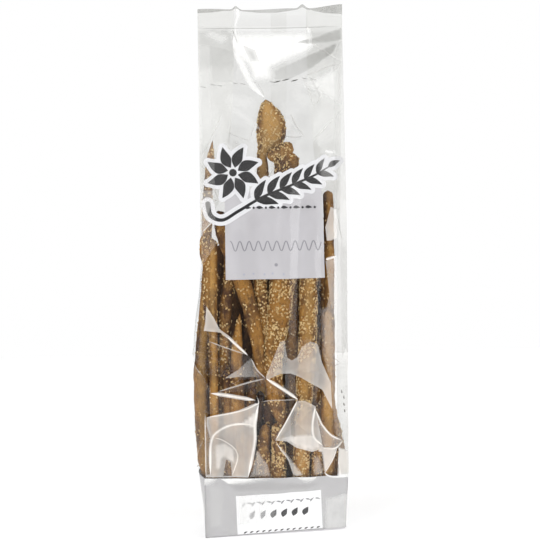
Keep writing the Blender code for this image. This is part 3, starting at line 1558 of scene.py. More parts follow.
@dataclass(frozen=True)
class Stick:
    """A hand-pulled breadstick: its route up the bag, and how its width and place in depth change."""

    name: str
    route: tuple
    half: tuple
    gap: tuple = (1.0,)
    seeds: float = 0.3
    tone: float = 0.9
    flat: float = 0.85
    top_cap: float = 6.0
    foot_cap: float = 5.0
    dense: Pair = (0.0, 400.0)

    # Where across the stick the film is read, and how far the stick stays from the film
    READS = (-0.8, 0.0, 0.8)
    BACK_ROOM = 2.8
    SIDE_ROOM = 0.8
    # More room low down, where the bottom's folds draw in, and none at the sides above the stack
    FOOT_ROOM = 2.0
    FOOT_ENDS = (38.0, 50.0)
    LOW_ROOM = 1.6
    LOW_ENDS = (42.0, 54.0)
    STACK_ENDS = (190.0, 200.0)

    @property
    def outward(self) -> float:
        """Way out of the bag for the side that shows: -1 to the front, 1 to the back."""
        return 1.0 if self.name.startswith("rear") else -1.0

    def spread(self, values: tuple) -> Array:
        """Values at even shares of the route, read at each of its points."""
        count = len(self.route)
        return np.interp(np.linspace(0, 1, count), np.linspace(0, 1, len(values)), values)

    def path(self, form: BagForm, net: FoldNet, step: float) -> Array:
        """Middle line of the stick and its half width.

        Args:
            form: the bag's form, which the stick stays inside.
            net: the front's folds.
            step: spacing.

        Returns:
            n by 4 array: x, y, z and half width.
        """
        rows = zip(self.route, self.spread(self.gap), self.spread(self.half))
        x, z, gap, half = curve_through([(x, z, g, h) for (x, z), g, h in rows], step).T
        dent = np.minimum(net.proud(np.column_stack([x, z])), 0.0)
        front = np.maximum.reduce([form.front_y(x + s * half, z) for s in self.READS])
        y = front - dent + gap + half * self.flat + self.FOOT_ROOM * (1.0 - smooth(*self.FOOT_ENDS, z))
        y = np.minimum(y, form.back_y(x, z) - half * self.flat - self.BACK_ROOM)
        share = np.clip(0.5 + y / form.depth(z), 0.0, 1.0)
        room = half + self.SIDE_ROOM + self.LOW_ROOM * (1.0 - smooth(*self.LOW_ENDS, z))
        held = np.clip(x, form.side_x(-1, share, z) + room, form.side_x(1, share, z) - room)
        x = x + (held - x) * (1.0 - smooth(*self.STACK_ENDS, z))
        return np.column_stack([x, y, z, half])


@dataclass
class Bundle:
    """All the breadsticks in the bag."""

    form: BagForm
    net: FoldNet
    sticks: tuple
    step: float = 1.5
    around: int = 24
    lump: float = 0.11
    wrinkle: float = 0.035
    # How much darker each stick is painted towards its sides, as painted shade
    side_shade: float = 0.5
    thinnest: float = 0.04
    lowest: float = 1.2
    rings: list = field(default_factory=list)

    # Lumps, wrinkles and pimples: how fast each noise changes round a stick, its shift across and in
    # depth from one stick to the next, and its length along the stick
    NOISES = ((0.7, 7.3, 0.0, 13.0), (2.2, 0.0, 3.1, 5.0), (4.5, 1.0, 0.0, 2.2))

    def swell(self, index: int, turn: float, along: float) -> float:
        """Factor by which a stick is swollen at a place on its skin.

        Args:
            index: the stick's number.
            turn: angle round it.
            along: length up to the place.

        Returns:
            The factor.
        """
        c, s = math.cos(turn), math.sin(turn)
        lump, wrinkle, pimple = (
            noise.noise(Vector((c * rate + index * across, s * rate + index * deep, along / run)))
            for rate, across, deep, run in self.NOISES
        )
        return 1.0 + self.lump * lump + self.wrinkle * (2.0 * wrinkle + pimple)

    def shape(self, index: int, stick: Stick) -> Mesh:
        """Rings of one stick and their outward directions.

        Args:
            index: its number, which sets its lumps.
            stick: the stick.

        Returns:
            Points and directions, each rings by corners by 3.
        """
        path = stick.path(self.form, self.net, self.step)
        middle, half = path[:, :3], path[:, 3].copy()
        length = lengths(middle)
        for gap, cap in ((length, stick.foot_cap), (length[-1] - length, stick.top_cap)):
            share = np.clip(gap / cap, 0.0, 1.0)
            half *= np.maximum(np.sqrt(1.0 - (1.0 - share) ** 2), self.thinnest)
        run = directions(middle)
        aside = np.cross(run, (0.0, 1.0, 0.0))
        aside /= np.linalg.norm(aside, axis=1)[:, None]
        ahead = np.cross(aside, run)
        angles = turns(self.around)
        c, s = np.cos(angles)[None, :, None], np.sin(angles)[None, :, None]
        out = c * aside[:, None, :] + stick.flat * s * ahead[:, None, :]
        swell = np.array([[self.swell(index, turn, along) for turn in angles] for along in length])
        points = middle[:, None, :] + out * (half[:, None] * swell)[:, :, None]
        points[:, :, 2] = np.maximum(points[:, :, 2], self.lowest)
        return points, out

    def build(self) -> None:
        """Build the sticks as one piece and place it."""
        count = self.around
        fan = np.array([(0, j + 1, j) for j in range(1, count - 1)])
        parts, tones = [], []
        for index, stick in enumerate(self.sticks):
            points, out = self.shape(index, stick)
            self.rings.append((points, out))
            rows = len(points)
            sides = halved(grid_faces(rows, count, True))
            triangles = np.vstack([sides, fan, fan[:, ::-1] + (rows - 1) * count])
            parts.append((points.reshape(-1, 3), triangles))
            # Painted shade: each stick's tone drops towards its left and right sides, standing in for the
            # shading of a round stick
            flank = np.abs(np.cos(2 * math.pi * (triangles % count) / count)) ** 3
            tones.append((stick.tone - self.side_shade * flank).ravel())
            LOG.info("stick %s: %d rings", stick.name, rows)
        points, faces = joined(parts)
        marks = {"tone": np.concatenate(tones)}
        material = Crust().material()
        made = new_object("breadsticks", self.form.aligned(points) * MM, faces, material, None, marks)
        place(made, Slot.STICK)


@dataclass
class SesameSeeds:
    """The seeds baked onto the sticks."""

    bundle: Bundle
    size: Triple = (1.9, 1.2, 0.8)
    total: int = 8800
    seed: int = 11
    tries: int = 40000
    clusters: Triple = (5.1, 1.2, 9.0)
    cluster_ends: Pair = (-0.7, 0.3)
    sparse: float = 0.12
    turned_in: float = -0.35
    turn: float = 0.9
    tilt: float = 0.12
    size_spread: float = 0.1
    jitter: Pair = (0.7, 0.25)
    raised: float = 0.18
    tones: Pair = (0.55, 0.28)

    def unit(self) -> Mesh:
        """One seed a unit long: pointed at one end, round at the other.

        Returns:
            Points and triangles.
        """
        around, half, rows = 5, 0.44, (-0.16, 0.24)
        rings = [(at, half * math.cos(t), half * math.sin(t)) for at in rows for t in turns(around)]
        points = [(-0.5, 0.0, 0.0), *rings, (0.5, 0.0, 0.0)]
        faces = []
        for j in range(around):
            k = (j + 1) % around
            a, b = 1, 1 + around
            faces += [(0, a + k, a + j), (a + j, a + k, b + k), (a + j, b + k, b + j)]
            faces.append((b + j, b + k, len(points) - 1))
        return np.array(points), np.array(faces)

    def chance(self, index: int, i: int, j: int) -> float:
        """Chance that a place on a stick takes a seed.

        Args:
            index: the stick's number.
            i: the ring.
            j: the corner of the ring.

        Returns:
            The chance, from 0 to 1.
        """
        rings, out = self.bundle.rings[index]
        shift, rate, run = self.clusters
        across, deep = index * shift + out[i, j, 0] * rate, out[i, j, 1]
        cluster = noise.noise(Vector((across, deep, rings[i, j, 2] / run)))
        low, high = self.bundle.sticks[index].dense
        thin = 1.0 if low < rings[i, j, 2] < high else self.sparse
        return thin * smooth(*self.cluster_ends, cluster)

    def settle(self, rng: np.random.Generator, unit: Points, index: int, i: int, j: int) -> Points | None:
        """Turn a seed and lay it down at a place on a stick.

        Args:
            rng: the random draws.
            unit: the points of a seed a unit long.
            index: the stick's number.
            i: the ring.
            j: the corner of the ring.

        Returns:
            The seed's points, or None where the skin faces into the bag.
        """
        rings, out = self.bundle.rings[index]
        run = rings[i + 1, j] - rings[i - 1, j]
        side = rings[i, (j + 1) % rings.shape[1]] - rings[i, j - 1]
        normal = np.cross(side, run)
        if min(np.linalg.norm(normal), np.linalg.norm(run)) < TINY:
            return None
        normal /= np.linalg.norm(normal) * np.sign(normal @ out[i, j])
        run /= np.linalg.norm(run)
        if normal[1] * self.bundle.sticks[index].outward < self.turned_in:
            return None
        turn = rng.normal(0.0, self.turn)
        along = run * math.cos(turn) + np.cross(normal, run) * math.sin(turn)
        along += normal * rng.normal(0.0, self.tilt)
        along /= np.linalg.norm(along)
        size = np.array(self.size) * rng.normal(1.0, self.size_spread)
        far, wide = self.jitter
        shift = run * rng.uniform(-far, far) + side * rng.uniform(-wide, wide)
        middle = rings[i, j] + shift + normal * self.size[2] * self.raised
        return middle + (unit * size) @ np.vstack([along, np.cross(normal, along), normal])

    def build(self) -> None:
        """Scatter the seeds in clusters, mostly on the sides that face out, and place them."""
        rng = np.random.default_rng(self.seed)
        unit, faces = self.unit()
        weights = [s.seeds * len(r[0]) for s, r in zip(self.bundle.sticks, self.bundle.rings)]
        shares = np.array(weights) / sum(weights)
        parts, tones = [], []
        for index, (rings, _) in enumerate(self.bundle.rings):
            wanted, tries = int(round(shares[index] * self.total)), 0
            while wanted > 0 and tries < self.tries:
                tries += 1
                i, j = rng.integers(2, len(rings) - 2), rng.integers(0, rings.shape[1])
                if rng.random() > self.chance(index, i, j):
                    continue
                laid = self.settle(rng, unit, index, i, j)
                if laid is None:
                    continue
                parts.append((laid, faces))
                tones.append(np.full(faces.size, np.clip(rng.normal(*self.tones), 0.0, 1.0)))
                wanted -= 1
        points, faces = joined(parts)
        marks = {"tone": np.concatenate(tones)}
        points = self.bundle.form.aligned(points)
        made = new_object("sesame_seeds", points * MM, faces, SesameSkin().material(), None, marks)
        place(made, Slot.SEED)


# ---- the front's folds, and its painted glare and shade


TOP = BagForm.height
# Nodes of the front's folds: across, up, and how far the film stands out there
FRONT_NODES = {
    "star": (-7, 113, 1.2), "spear_root": (-19, 130, 0.9), "spear_top": (-47, 163, 0.2),
    "spear_foot": (-49, 146, 0.0), "left_knot": (-44, 103, 1.0), "mid_knot": (-13, 98, 1.4),
    "right_knot": (15, 98, 1.6), "low_knot": (-1, 70, 1.2), "corner_knot": (46, 68, 1.0),
    "tie": (32, 64, 0.8), "tent_top": (27, 93, 0.9), "left_shoulder": (-48, 86, 0.5),
    "left_tent": (-44, 70, 0.9), "left_foot": (-46, 45, 0.3), "inner_foot": (-31, 46, 0.2),
    "fold_foot": (-20, 45, 0.6), "fold_waist": (-15, 72, 0.9), "right_foot": (13, 45, 0.2),
    "tie_foot": (34, 46, 0.1), "shelf": (39, 43, 0.8), "shelf_end": (49, 42, 0.0), "dip_a": (-25, 112, -0.8),
    "dip_b": (-28, 77, -1.3), "dip_c": (8, 118, -0.8), "dip_d": (30, 116, -1.0), "dip_e": (15, 80, -1.0),
    "dip_f": (-5, 85, 1.0), "dip_g": (-36, 135, -0.6), "dip_h": (-28, 58, -0.9), "dip_i": (4, 52, -0.5),
    "hood_a": (4, 139, 0.1), "hood_b": (24, 139, 0.1), "hood_c": (38, 109, 0.5), "level_a": (-30, 172, 0.0),
    "level_b": (-10, 170, 0.0), "level_c": (12, 172, 0.0), "level_d": (33, 172, 0.3),
    "upper_a": (-40, 206, 0.3), "upper_b": (-20, 204, 0.0), "upper_c": (4, 206, 0.0),
    "upper_d": (24, 202, 0.0), "upper_e": (40, 210, 0.6), "high_a": (-36, 246, 0.2),
    "high_b": (-18, 256, -0.1), "high_c": (12, 262, 0.1), "high_d": (34, 252, -0.1), "top_a": (-40, 283, 0.2),
    "top_b": (-26, 296, -0.1), "top_c": (-5, 305, 0.4), "top_d": (12, 292, -0.2), "top_e": (31, 307, 0.3),
    "top_f": (32, 280, -0.1), "neck_a": (-40, 316, 0.2), "neck_b": (-26, 316, -0.2),
    "neck_c": (-14, 315, 0.8), "neck_d": (2, 316, 0.2), "neck_e": (13, 317, 0.2), "neck_f": (27, 324, 0.4),
    "neck_g": (44, 328, 0.2), "wedge_a": (2, 324, -0.2), "wedge_b": (27, 335, -0.3),
    "wedge_c": (43, 335, 0.4), "wedge_d": (48, 344, 0.0), "ridge_a": (-22, 333, 1.0),
    "ridge_b": (-24, 344, 0.8), "ridge_c": (27, 344, 0.7), "pleat_a": (-33, 339, 0.1),
    "pleat_b": (-12, 334, -0.2), "pleat_c": (-11, 344, 0.3), "pleat_d": (10, 343, 0.2),
    "seal_a": (-25, 353, 0.2), "seal_b": (8, 354, 0.0), "seal_c": (26, 354, 0.2), "band_a": (-46, 38, 0.5),
    "band_b": (-28, 43, -0.3), "band_c": (-20, 34, -0.7), "band_d": (-3, 41, 0.3), "band_e": (8, 35, -0.5),
    "band_f": (19, 41, 0.5), "band_g": (30, 33, -0.4), "band_h": (41, 27, 0.7), "band_i": (-38, 16, 0.4),
    "band_j": (-14, 17, -0.1), "band_k": (14, 18, -0.2), "band_l": (36, 12, 0.3), "band_m": (45, 12, -0.3),
}
# Nodes joined by a fold, which stays an edge
FRONT_FOLDS = (
    ("star", "spear_root"), ("spear_root", "spear_top"), ("spear_root", "spear_foot"), ("star", "left_knot"),
    ("star", "right_knot"), ("left_knot", "mid_knot"), ("mid_knot", "right_knot"),
    ("mid_knot", "left_shoulder"), ("mid_knot", "fold_waist"), ("fold_waist", "fold_foot"),
    ("left_shoulder", "left_tent"), ("left_tent", "left_foot"), ("right_knot", "low_knot"),
    ("right_knot", "tent_top"), ("low_knot", "right_foot"), ("tent_top", "tie"), ("tie", "corner_knot"),
    ("tent_top", "corner_knot"), ("tie", "tie_foot"), ("corner_knot", "tie_foot"), ("shelf", "shelf_end"),
    ("tie_foot", "shelf"), ("star", "hood_a"), ("hood_b", "hood_c"), ("low_knot", "tie"),
    ("wedge_a", "wedge_b"), ("wedge_b", "wedge_d"), ("neck_e", "neck_f"), ("neck_f", "wedge_c"),
    ("wedge_c", "wedge_d"), ("neck_c", "ridge_a"), ("ridge_a", "ridge_b"), ("ridge_b", "seal_a"),
    ("top_c", "neck_c"), ("top_c", "top_e"), ("neck_e", "top_e"), ("ridge_c", "seal_c"),
    ("neck_a", "pleat_a"), ("pleat_b", "pleat_c"),
)
# Heights of the nodes up both edges of a panel
EDGE_LEVELS = (0, 22, 43.5, 70, 92, 115, 140, 172, 200, 232, 262, 298, 330, 354, 366)
# Sharp folds of the front, with painted glare or painted shade along their length
FRONT_CREASES = (
    Crease(((-46, 139), (-36, 135), (-21, 130)), 1.0, 0.5),
    Crease(((-7, 113), (-20, 110), (-40, 104)), 1.2, 0.5),
    Crease(((-7, 113), (4, 106), (15, 98)), 2.5, 0.97),
    Crease(((-33, 142), (-19, 129)), 1.9, 0.95),
    Crease(((-7, 113), (-13, 119), (-17, 127)), 1.0, 0.6),
    Crease(((-45, 103), (-31, 101), (-14, 98)), 2.9, 0.9),
    Crease(((-13, 100), (-12, 96), (-14, 95), (-20, 92), (-31, 89), (-48, 86)), 1.6, 0.95),
    Crease(((-12, 96), (-14, 87), (-15, 80), (-15, 70), (-17, 58), (-20, 44)), 2.8, 0.98),
    Crease(((-46, 45), (-45, 69), (-39, 77), (-28, 81), (-17, 81)), 2.3, 0.95),
    Crease(((-43, 72), (-37, 70), (-29, 64), (-27, 57), (-31, 45)), 1.3, 0.8),
    Crease(((-49, 89), (-49, 69), (-49, 43)), 1.0, 0.8),
    Crease(((15, 98), (8, 85), (-1, 70)), 1.4, 0.95),
    Crease(((-1, 70), (3, 63), (8, 56), (12, 44)), 0.9, 0.6),
    Crease(((27, 93), (25, 80), (26, 71), (32, 65)), 2.2, 0.97),
    Crease(((27, 91), (30, 83), (32, 79), (38, 72), (46, 68)), 1.7, 0.9),
    Crease(((32, 63), (41, 63), (46, 68)), 1.6, 0.95),
    Crease(((42, 63), (39, 55), (33, 45)), 0.9, 0.9),
    Crease(((33, 46), (37, 43), (49, 42)), 1.6, 0.9),
    Crease(((-11, 97), (0, 98), (15, 98)), 0.9, 0.35),
    Crease(((-49, 214), (-42, 221)), 1.0, 0.8),
    Crease(((35, 194), (39, 195), (42, 196)), 2.3, 0.9),
    Crease(((-24, 353), (-24, 344), (-22, 333), (-14, 315), (-5, 305)), 4.9, 0.97),
    Crease(((26, 354), (27, 345), (27, 338)), 3.2, 0.6),
    Crease(((-38, 372), (-23, 366), (-24, 354)), 2.6, 0.9),
    Crease(((-49, 353), (-25, 353), (8, 353), (48, 354)), 0.9, 0.0, 0.42, 0.12),
    Crease(((-26, 352), (-23, 343)), 1.3, 0.0, 0.35),
    Crease(((26, 320), (30, 313), (34, 305)), 1.6, 0.0, 0.22),
    Crease(((24, 312), (29, 309), (34, 313)), 1.2, 0.0, 0.18),
    Crease(((-30, 300), (-18, 291), (-8, 283)), 4.5, 0.22),
    Crease(((36, 268), (42, 267)), 2.6, 0.8),
)
# Patches of the front with painted glare (white) or painted shade (grey), the lowest first
FRONT_GLARES = (
    Glare(((-49, 233), (49, 233), (49, 316), (-49, 316)), 0.02, 0.02, soft=2.0),
    # Strip up the right edge
    Glare(((43, 52), (50, 52), (50, 352), (43, 330), (43, 220), (43, 165), (42, 115)), 0.14, 0.11),
    Glare(((43, 150), (50, 150), (50, 44), (45, 44), (43, 54), (42, 115)), 0.06, 0.3, (46, 112), (46, 152)),
    # Folded gusset at the left edge
    Glare(((-50, 190), (-40, 205), (-40, 262), (-42, 316), (-42, 341), (-50, 341)), 0.12),
    Glare(((-42, 341), (-33, 339), (-26, 337), (-23, 327), (-26, 316), (-40, 316)), 0.0, 0.08),
    # Painted glare in the middle under the seal
    Glare(((-26, 351), (-11, 352), (26, 352), (34, 342), (27, 335), (2, 324), (2, 316), (-14, 315),
        (-17, 326), (-26, 333)), 0.98, soft=6.0),
    Glare(((-19, 341), (-11, 338), (-8, 330), (-14, 330)), 0.0, 0.3, under=0.6, soft=3.0),
    # Painted shade in a wedge under the seal
    Glare(((2, 324), (27, 335), (48, 344), (43, 335), (27, 324), (13, 317), (2, 316)), 0.0, 0.5, (60, 348),
        (-30, 314), 0.0, soft=1.2),
    Glare(((18, 343), (34, 348), (50, 354), (50, 344), (36, 342), (26, 342)), 0.0, 0.36, under=0.0, soft=1.6),
    # Painted glare on the facets to the right of it
    Glare(((10, 314), (31, 307), (47, 297), (50, 300), (50, 335), (44, 328), (28, 319)), 0.6, soft=7.0),
    Glare(((13, 313), (30, 306), (26, 296), (14, 303)), 0.15, soft=3.0),
    Glare(((-50, 354), (-25, 354), (-25, TOP), (-50, TOP)), 0.14),
    Glare(((26, 354), (50, 354), (50, TOP), (26, TOP)), 0.14),
    Glare(((-25, 354), (26, 354), (26, 362), (-25, 362)), 0.0, 0.08, (0, 354), (0, 366)),
    Glare(((-50, 365), (50, 365), (50, TOP), (-50, TOP)), 0.0, 0.45),
    Glare(((-50, TOP), (-50, 363.5), (-40, 364), (-29, 365), (-28, TOP)), 0.0, 0.45),
    Glare(((-21, TOP), (-19, 365), (-8, 363.5), (4, 363.5), (17, 365), (18, TOP)), 0.0, 0.45),
    Glare(((27, TOP), (30, 364.5), (40, 363), (50, 362.5), (50, TOP)), 0.0, 0.45),
    Glare(((-46, 353), (-27, 353), (-30, 349), (-44, 351)), 0.0, 0.16, soft=1.5),
    Glare(((-40, 352), (-26, 347), (-34, 341), (-48, 349)), 0.35, soft=2.5),
    Glare(((-36, 300), (-20, 296), (-10, 300), (-14, 308), (-30, 310)), 0.22, soft=4.0),
    Glare(((-38, 270), (-16, 262), (-14, 288), (-34, 292)), 0.0, 0.07, soft=6.0),
    Glare(((12, 300), (30, 294), (40, 262), (16, 266)), 0.0, 0.07, soft=6.0),
    Glare(((30, 262), (43, 270), (43, 246), (33, 240)), 0.2, soft=3.0),
    Glare(((39, 230), (43, 228), (43, 209), (39, 207), (36, 207), (35, 216)), 0.5),
    Glare(((35, 193), (42, 194), (43, 166), (39, 160), (38, 166)), 0.3),
    Glare(((-50, 242), (-40, 242), (-45, 226), (-44, 220), (-49, 212)), 0.3, under=0.5),
    Glare(((38, 173), (44, 173), (42, 115), (34, 135), (34, 152)), 0.22),
    Glare(((31, 160), (44, 166), (44, 60), (40, 76), (37, 112), (32, 128)), 0.16, soft=1.5),
    # Spear
    Glare(((-47, 163), (-48, 151), (-49, 146), (-38, 145), (-33, 141), (-20, 131), (-31, 142), (-38, 147),
        (-42, 155)), 0.5, 0.0, (-60, 190), (20, 60), rim=0.12),
    # Wing under the spear
    Glare(((-35, 113), (-26, 119), (-17, 127), (-11, 114), (-25, 114)), 0.36, 0.0, (-40, 110), (0, 132)),
    # Hood over the star
    Glare(((-7, 114), (3, 138), (6, 139), (8, 127), (11, 125), (15, 127), (18, 134), (24, 138), (29, 136),
        (32, 123), (38, 109), (39, 90), (32, 104), (17, 113), (10, 116), (3, 116), (-6, 112)), 0.57, 0.0,
        (54, 60), (-20, 190), rim=0.05),
    # Pleat at the left
    Glare(((-48, 86), (-31, 89), (-14, 96), (-12, 94), (-15, 80), (-15, 70), (-17, 58), (-20, 44), (-49, 44)),
        0.38, rim=0.1),
    Glare(((-27, 81), (-19, 87), (-13, 92), (-14, 77), (-20, 79)), 0.75, soft=2.0),
    Glare(((-49, 85), (-46, 72), (-46, 46), (-49, 46)), 0.1, under=0.3),
    Glare(((-37, 45), (-35, 56), (-32, 57), (-31, 45)), 0.0, 0.0, under=0.25),
    Glare(((-27, 50), (-28, 65), (-36, 70), (-44, 68), (-44, 48), (-38, 48), (-36, 56)), 0.66, soft=3.0),
    # Tent
    Glare(((15, 97), (8, 85), (-1, 70), (7, 69), (14, 64), (25, 61), (31, 63), (32, 64), (27, 93), (20, 97)),
        0.54, 0.0, (24, 30), (-6, 150), rim=0.1),
    Glare(((2, 70), (9, 73), (27, 74), (31, 66), (31, 63), (25, 61), (14, 64), (7, 69)), 0.72, soft=2.0),
    Glare(((1, 71), (11, 74), (15, 69), (9, 68)), 0.62, soft=1.0),
    Glare(((10, 90), (13, 90), (13, 72), (10, 72)), 0.0, 0.16, under=0.8, soft=0.9),
    Glare(((-1, 69), (6, 62), (11, 55), (18, 46), (18, 44), (12, 44), (8, 56), (3, 63)), 0.42, soft=0.5),
    Glare(((-14, 66), (-9, 57), (-6, 53), (-4, 44), (-19, 44), (-15, 59)), 0.28, soft=0.8),
    # Inside of the tent
    Glare(((27, 91), (25, 80), (26, 71), (32, 65), (41, 63), (46, 68), (38, 72), (32, 79)), 0.22, rim=0.1),
    Glare(((28, 61), (31, 65), (42, 63), (39, 55), (33, 45), (32, 53), (31, 60)), 0.66, soft=0.5),
    Glare(((25, 57), (29, 59), (32, 52), (33, 44), (25, 44)), 0.25, soft=2.0),
    Glare(((42, 43), (56, 40), (56, 58), (43, 64)), 0.85, soft=0.5),
    # Painted highlights along the top of the silver band, painted shade under them, and painted glare over
    # the band and the label
    Glare(((-50, 43), (-41, 43), (-43, 39), (-50, 38)), 0.9, 0.0, (-47, 43), (-44, 38)),
    Glare(((-39, 43), (-1, 43), (-6, 40), (-20, 38), (-33, 39)), 0.95, 0.0, (-22, 43), (-21, 38)),
    Glare(((14, 43), (28, 43), (22, 38)), 0.9, 0.0, (21, 43), (21, 38)),
    Glare(((-36, 40), (-20, 40), (-3, 41), (15, 39), (36, 39), (20, 33), (-30, 33)), 0.0, 0.12, soft=2.0),
    Glare(((-50, 40), (-34, 40), (-36, 5), (-50, 5)), 0.2, soft=6.0),
    Glare(((32, 27), (60, 34), (60, -8), (32, -8)), 0.42, soft=5.0),
    Glare(((-27, 30), (-2, 31), (4, 8), (-26, 8)), 0.5, 0.0, (-34, 20), (14, 18)),
)


# ---- the film and what it holds


@dataclass
class Film:
    """The whole bag of film: four sheets joined along their creases, with the seam up the back."""

    form: BagForm
    seed: int = 5
    cell: float = 21.0
    depth: float = 1.3
    proud_ends: Pair = (-0.8, 1.0)
    jitter: Pair = (0.36, 0.38)
    seal_margin: float = 4.0
    # Share of the depth where the sticks hold the film taut, above the sticks, and at the sides
    taut_ends: Pair = (168.0, 205.0)
    taut: float = 0.35
    above_from: float = 225.0
    above: float = 0.4
    at_sides: float = 0.5
    # Middle of a side's inward fold, and how far from it other nodes stay
    spine: tuple = (205.0, 240.0, 275.0, 310.0, 345.0, 354.0)
    spine_from: float = 200.0
    spine_room: float = 5.0
    # Chances of painted glare on a facet and of a crease on an edge, at the back and at the sides
    glare_chance: Pair = (0.3, 0.1)
    crease_chance: Pair = (0.28, 0.1)
    glare_ends: Triple = (45.0, 165.0, 0.4)
    crease_ends: Pair = (40.0, 352.0)
    # Painted glare on a facet: how far it draws in from the corners and how strong it is; a crease: its bow,
    # width and painted glare
    pull: Pair = (0.55, 0.92)
    glare_range: Pair = (0.1, 0.4)
    bow: float = 1.2
    crease_widths: Pair = (0.5, 1.3)
    crease_glare_range: Pair = (0.3, 0.8)
    spacings: Pair = (1.7, 2.4)
    sharp: float = 14.0
    sheets: dict = field(default_factory=dict)

    def edge_nodes(self, panel: Panel) -> list[Triple]:
        """Level nodes up both edges of a panel."""
        half = self.form.half_width(panel)
        return [(side * half, float(z), 0.0) for side in (-1, 1) for z in EDGE_LEVELS]

    def draws(self, panel: Panel, purpose: int) -> np.random.Generator:
        """Random draws for a panel's net, glares or creases, where the purpose is 0, 1 or 2."""
        return np.random.default_rng(self.seed + 20 * purpose + list(Panel).index(panel))

    def front_net(self) -> FoldNet:
        """The front's folds.

        Returns:
            Its net.
        """
        names = list(FRONT_NODES)
        folds = [(names.index(a), names.index(b)) for a, b in FRONT_FOLDS]
        ends = [(x, z, 0.0) for x in (-25.0, 8.0, 26.0) for z in (0.0, self.form.height)]
        return FoldNet([*FRONT_NODES.values(), *self.edge_nodes(Panel.FRONT), *ends], folds)

    def plain_net(self, panel: Panel) -> FoldNet:
        """Folds of a panel that is crumpled at random.

        Args:
            panel: which panel.

        Returns:
            Its net.
        """
        rng = self.draws(panel, 0)
        half, height, back = self.form.half_width(panel), self.form.height, panel is Panel.BACK
        columns, rows = max(2, int(round(2 * half / self.cell))), int(round(height / self.cell))
        nodes = self.edge_nodes(panel)
        for row in range(rows + 1):
            z = height * row / rows
            for column in range(1, columns):
                x = 2 * half * column / columns - half
                if row in (0, rows):
                    nodes.append((x, z, 0.0))
                    continue
                level = z + rng.uniform(-self.jitter[1], self.jitter[1]) * self.cell
                if level > self.form.seal_bottom - self.seal_margin:
                    continue
                across = x + rng.uniform(-self.jitter[0], self.jitter[0]) * self.cell
                taut = self.taut if self.taut_ends[0] < level < self.taut_ends[1] else 1.0
                taut *= (1.0 if back else self.at_sides) * (self.above if level > self.above_from else 1.0)
                nodes.append((across, level, taut * rng.uniform(*self.proud_ends) * self.depth))
        if back:
            return FoldNet(nodes)
        clear = [n for n in nodes if n[1] < self.spine_from or abs(n[0]) > self.spine_room or n[1] == height]
        links = [(len(clear) + i, len(clear) + i + 1) for i in range(len(self.spine) - 1)]
        return FoldNet(clear + [(0.0, z, 0.0) for z in self.spine], links)

    def plain_glares(self, net: FoldNet, panel: Panel) -> tuple:
        """Painted patches on a crumpled panel: some of its facets are painted white as glare, and the back is
        painted grey as shade high up.

        Args:
            net: its folds.
            panel: which panel.

        Returns:
            The patches.
        """
        rng = self.draws(panel, 1)
        back = panel is Panel.BACK
        lowest, high_from, fewer = self.glare_ends
        glares = []
        for facet in net.facets:
            corners = net.points[list(facet), :2]
            middle = corners.mean(axis=0)
            chance = self.glare_chance[0 if back else 1] * (fewer if middle[1] > high_from else 1.0)
            if rng.random() < chance and middle[1] > lowest:
                pulled = middle + (corners - middle) * rng.uniform(*self.pull)
                painted_glare = float(rng.uniform(*self.glare_range))
                fade = (tuple(corners[0]), tuple(corners[1] + (corners[1] - corners[0]) * 0.5))
                glares.append(Glare(pulled, painted_glare, 0.0, *fade, soft=1.0))
        # Painted shade over the back, high up
        if back:
            glares.append(Glare(((-50, 190), (50, 190), (50, 352), (-50, 352)), 0.0, 0.18, soft=2.0))
        return tuple(glares)

    def plain_creases(self, net: FoldNet, panel: Panel) -> tuple:
        """Sharp folds of a crumpled panel, along some edges of its facets.

        Args:
            net: its folds.
            panel: which panel.

        Returns:
            The creases.
        """
        rng = self.draws(panel, 2)
        rim = self.form.half_width(panel) - 1.0
        chance = self.crease_chance[0 if panel is Panel.BACK else 1]
        lowest, highest = self.crease_ends
        creases = []
        for ends in net.edges:
            start, end = net.points[list(ends), :2]
            at_rim = abs(start[0]) > rim and abs(end[0]) > rim
            low, high = sorted((start[1], end[1]))
            if at_rim or rng.random() > chance or high > highest or low < lowest:
                continue
            bow = (start + end) / 2.0 + rng.uniform(-self.bow, self.bow, 2)
            width, painted_glare = rng.uniform(*self.crease_widths), rng.uniform(*self.crease_glare_range)
            creases.append(Crease((start, bow, end), float(width), float(painted_glare)))
        return tuple(creases)

    def build(self) -> None:
        """Build the sheets and the seam as one piece and place it."""
        front, plain = self.spacings
        net, signs = self.front_net(), (FRONT_CREASES, FRONT_GLARES)
        self.sheets[Panel.FRONT] = FilmSheet(Panel.FRONT, self.form, net, *signs, front)
        for panel in (Panel.RIGHT, Panel.BACK, Panel.LEFT):
            net = self.plain_net(panel)
            signs = (self.plain_creases(net, panel), self.plain_glares(net, panel))
            self.sheets[panel] = FilmSheet(panel, self.form, net, *signs, plain)
        parts = [sheet.mesh() for sheet in self.sheets.values()]
        parts.append(BackSeam(self.sheets[Panel.BACK]).mesh())
        points, faces = joined(parts)
        marks = {key: np.concatenate([part[2][key].ravel() for part in parts]) for key in ("painted_glare", "shade")}
        film = new_object("clear_film", points * MM, faces, ClearFilm().material(), self.sharp, marks)
        place(film, Slot.FILM)


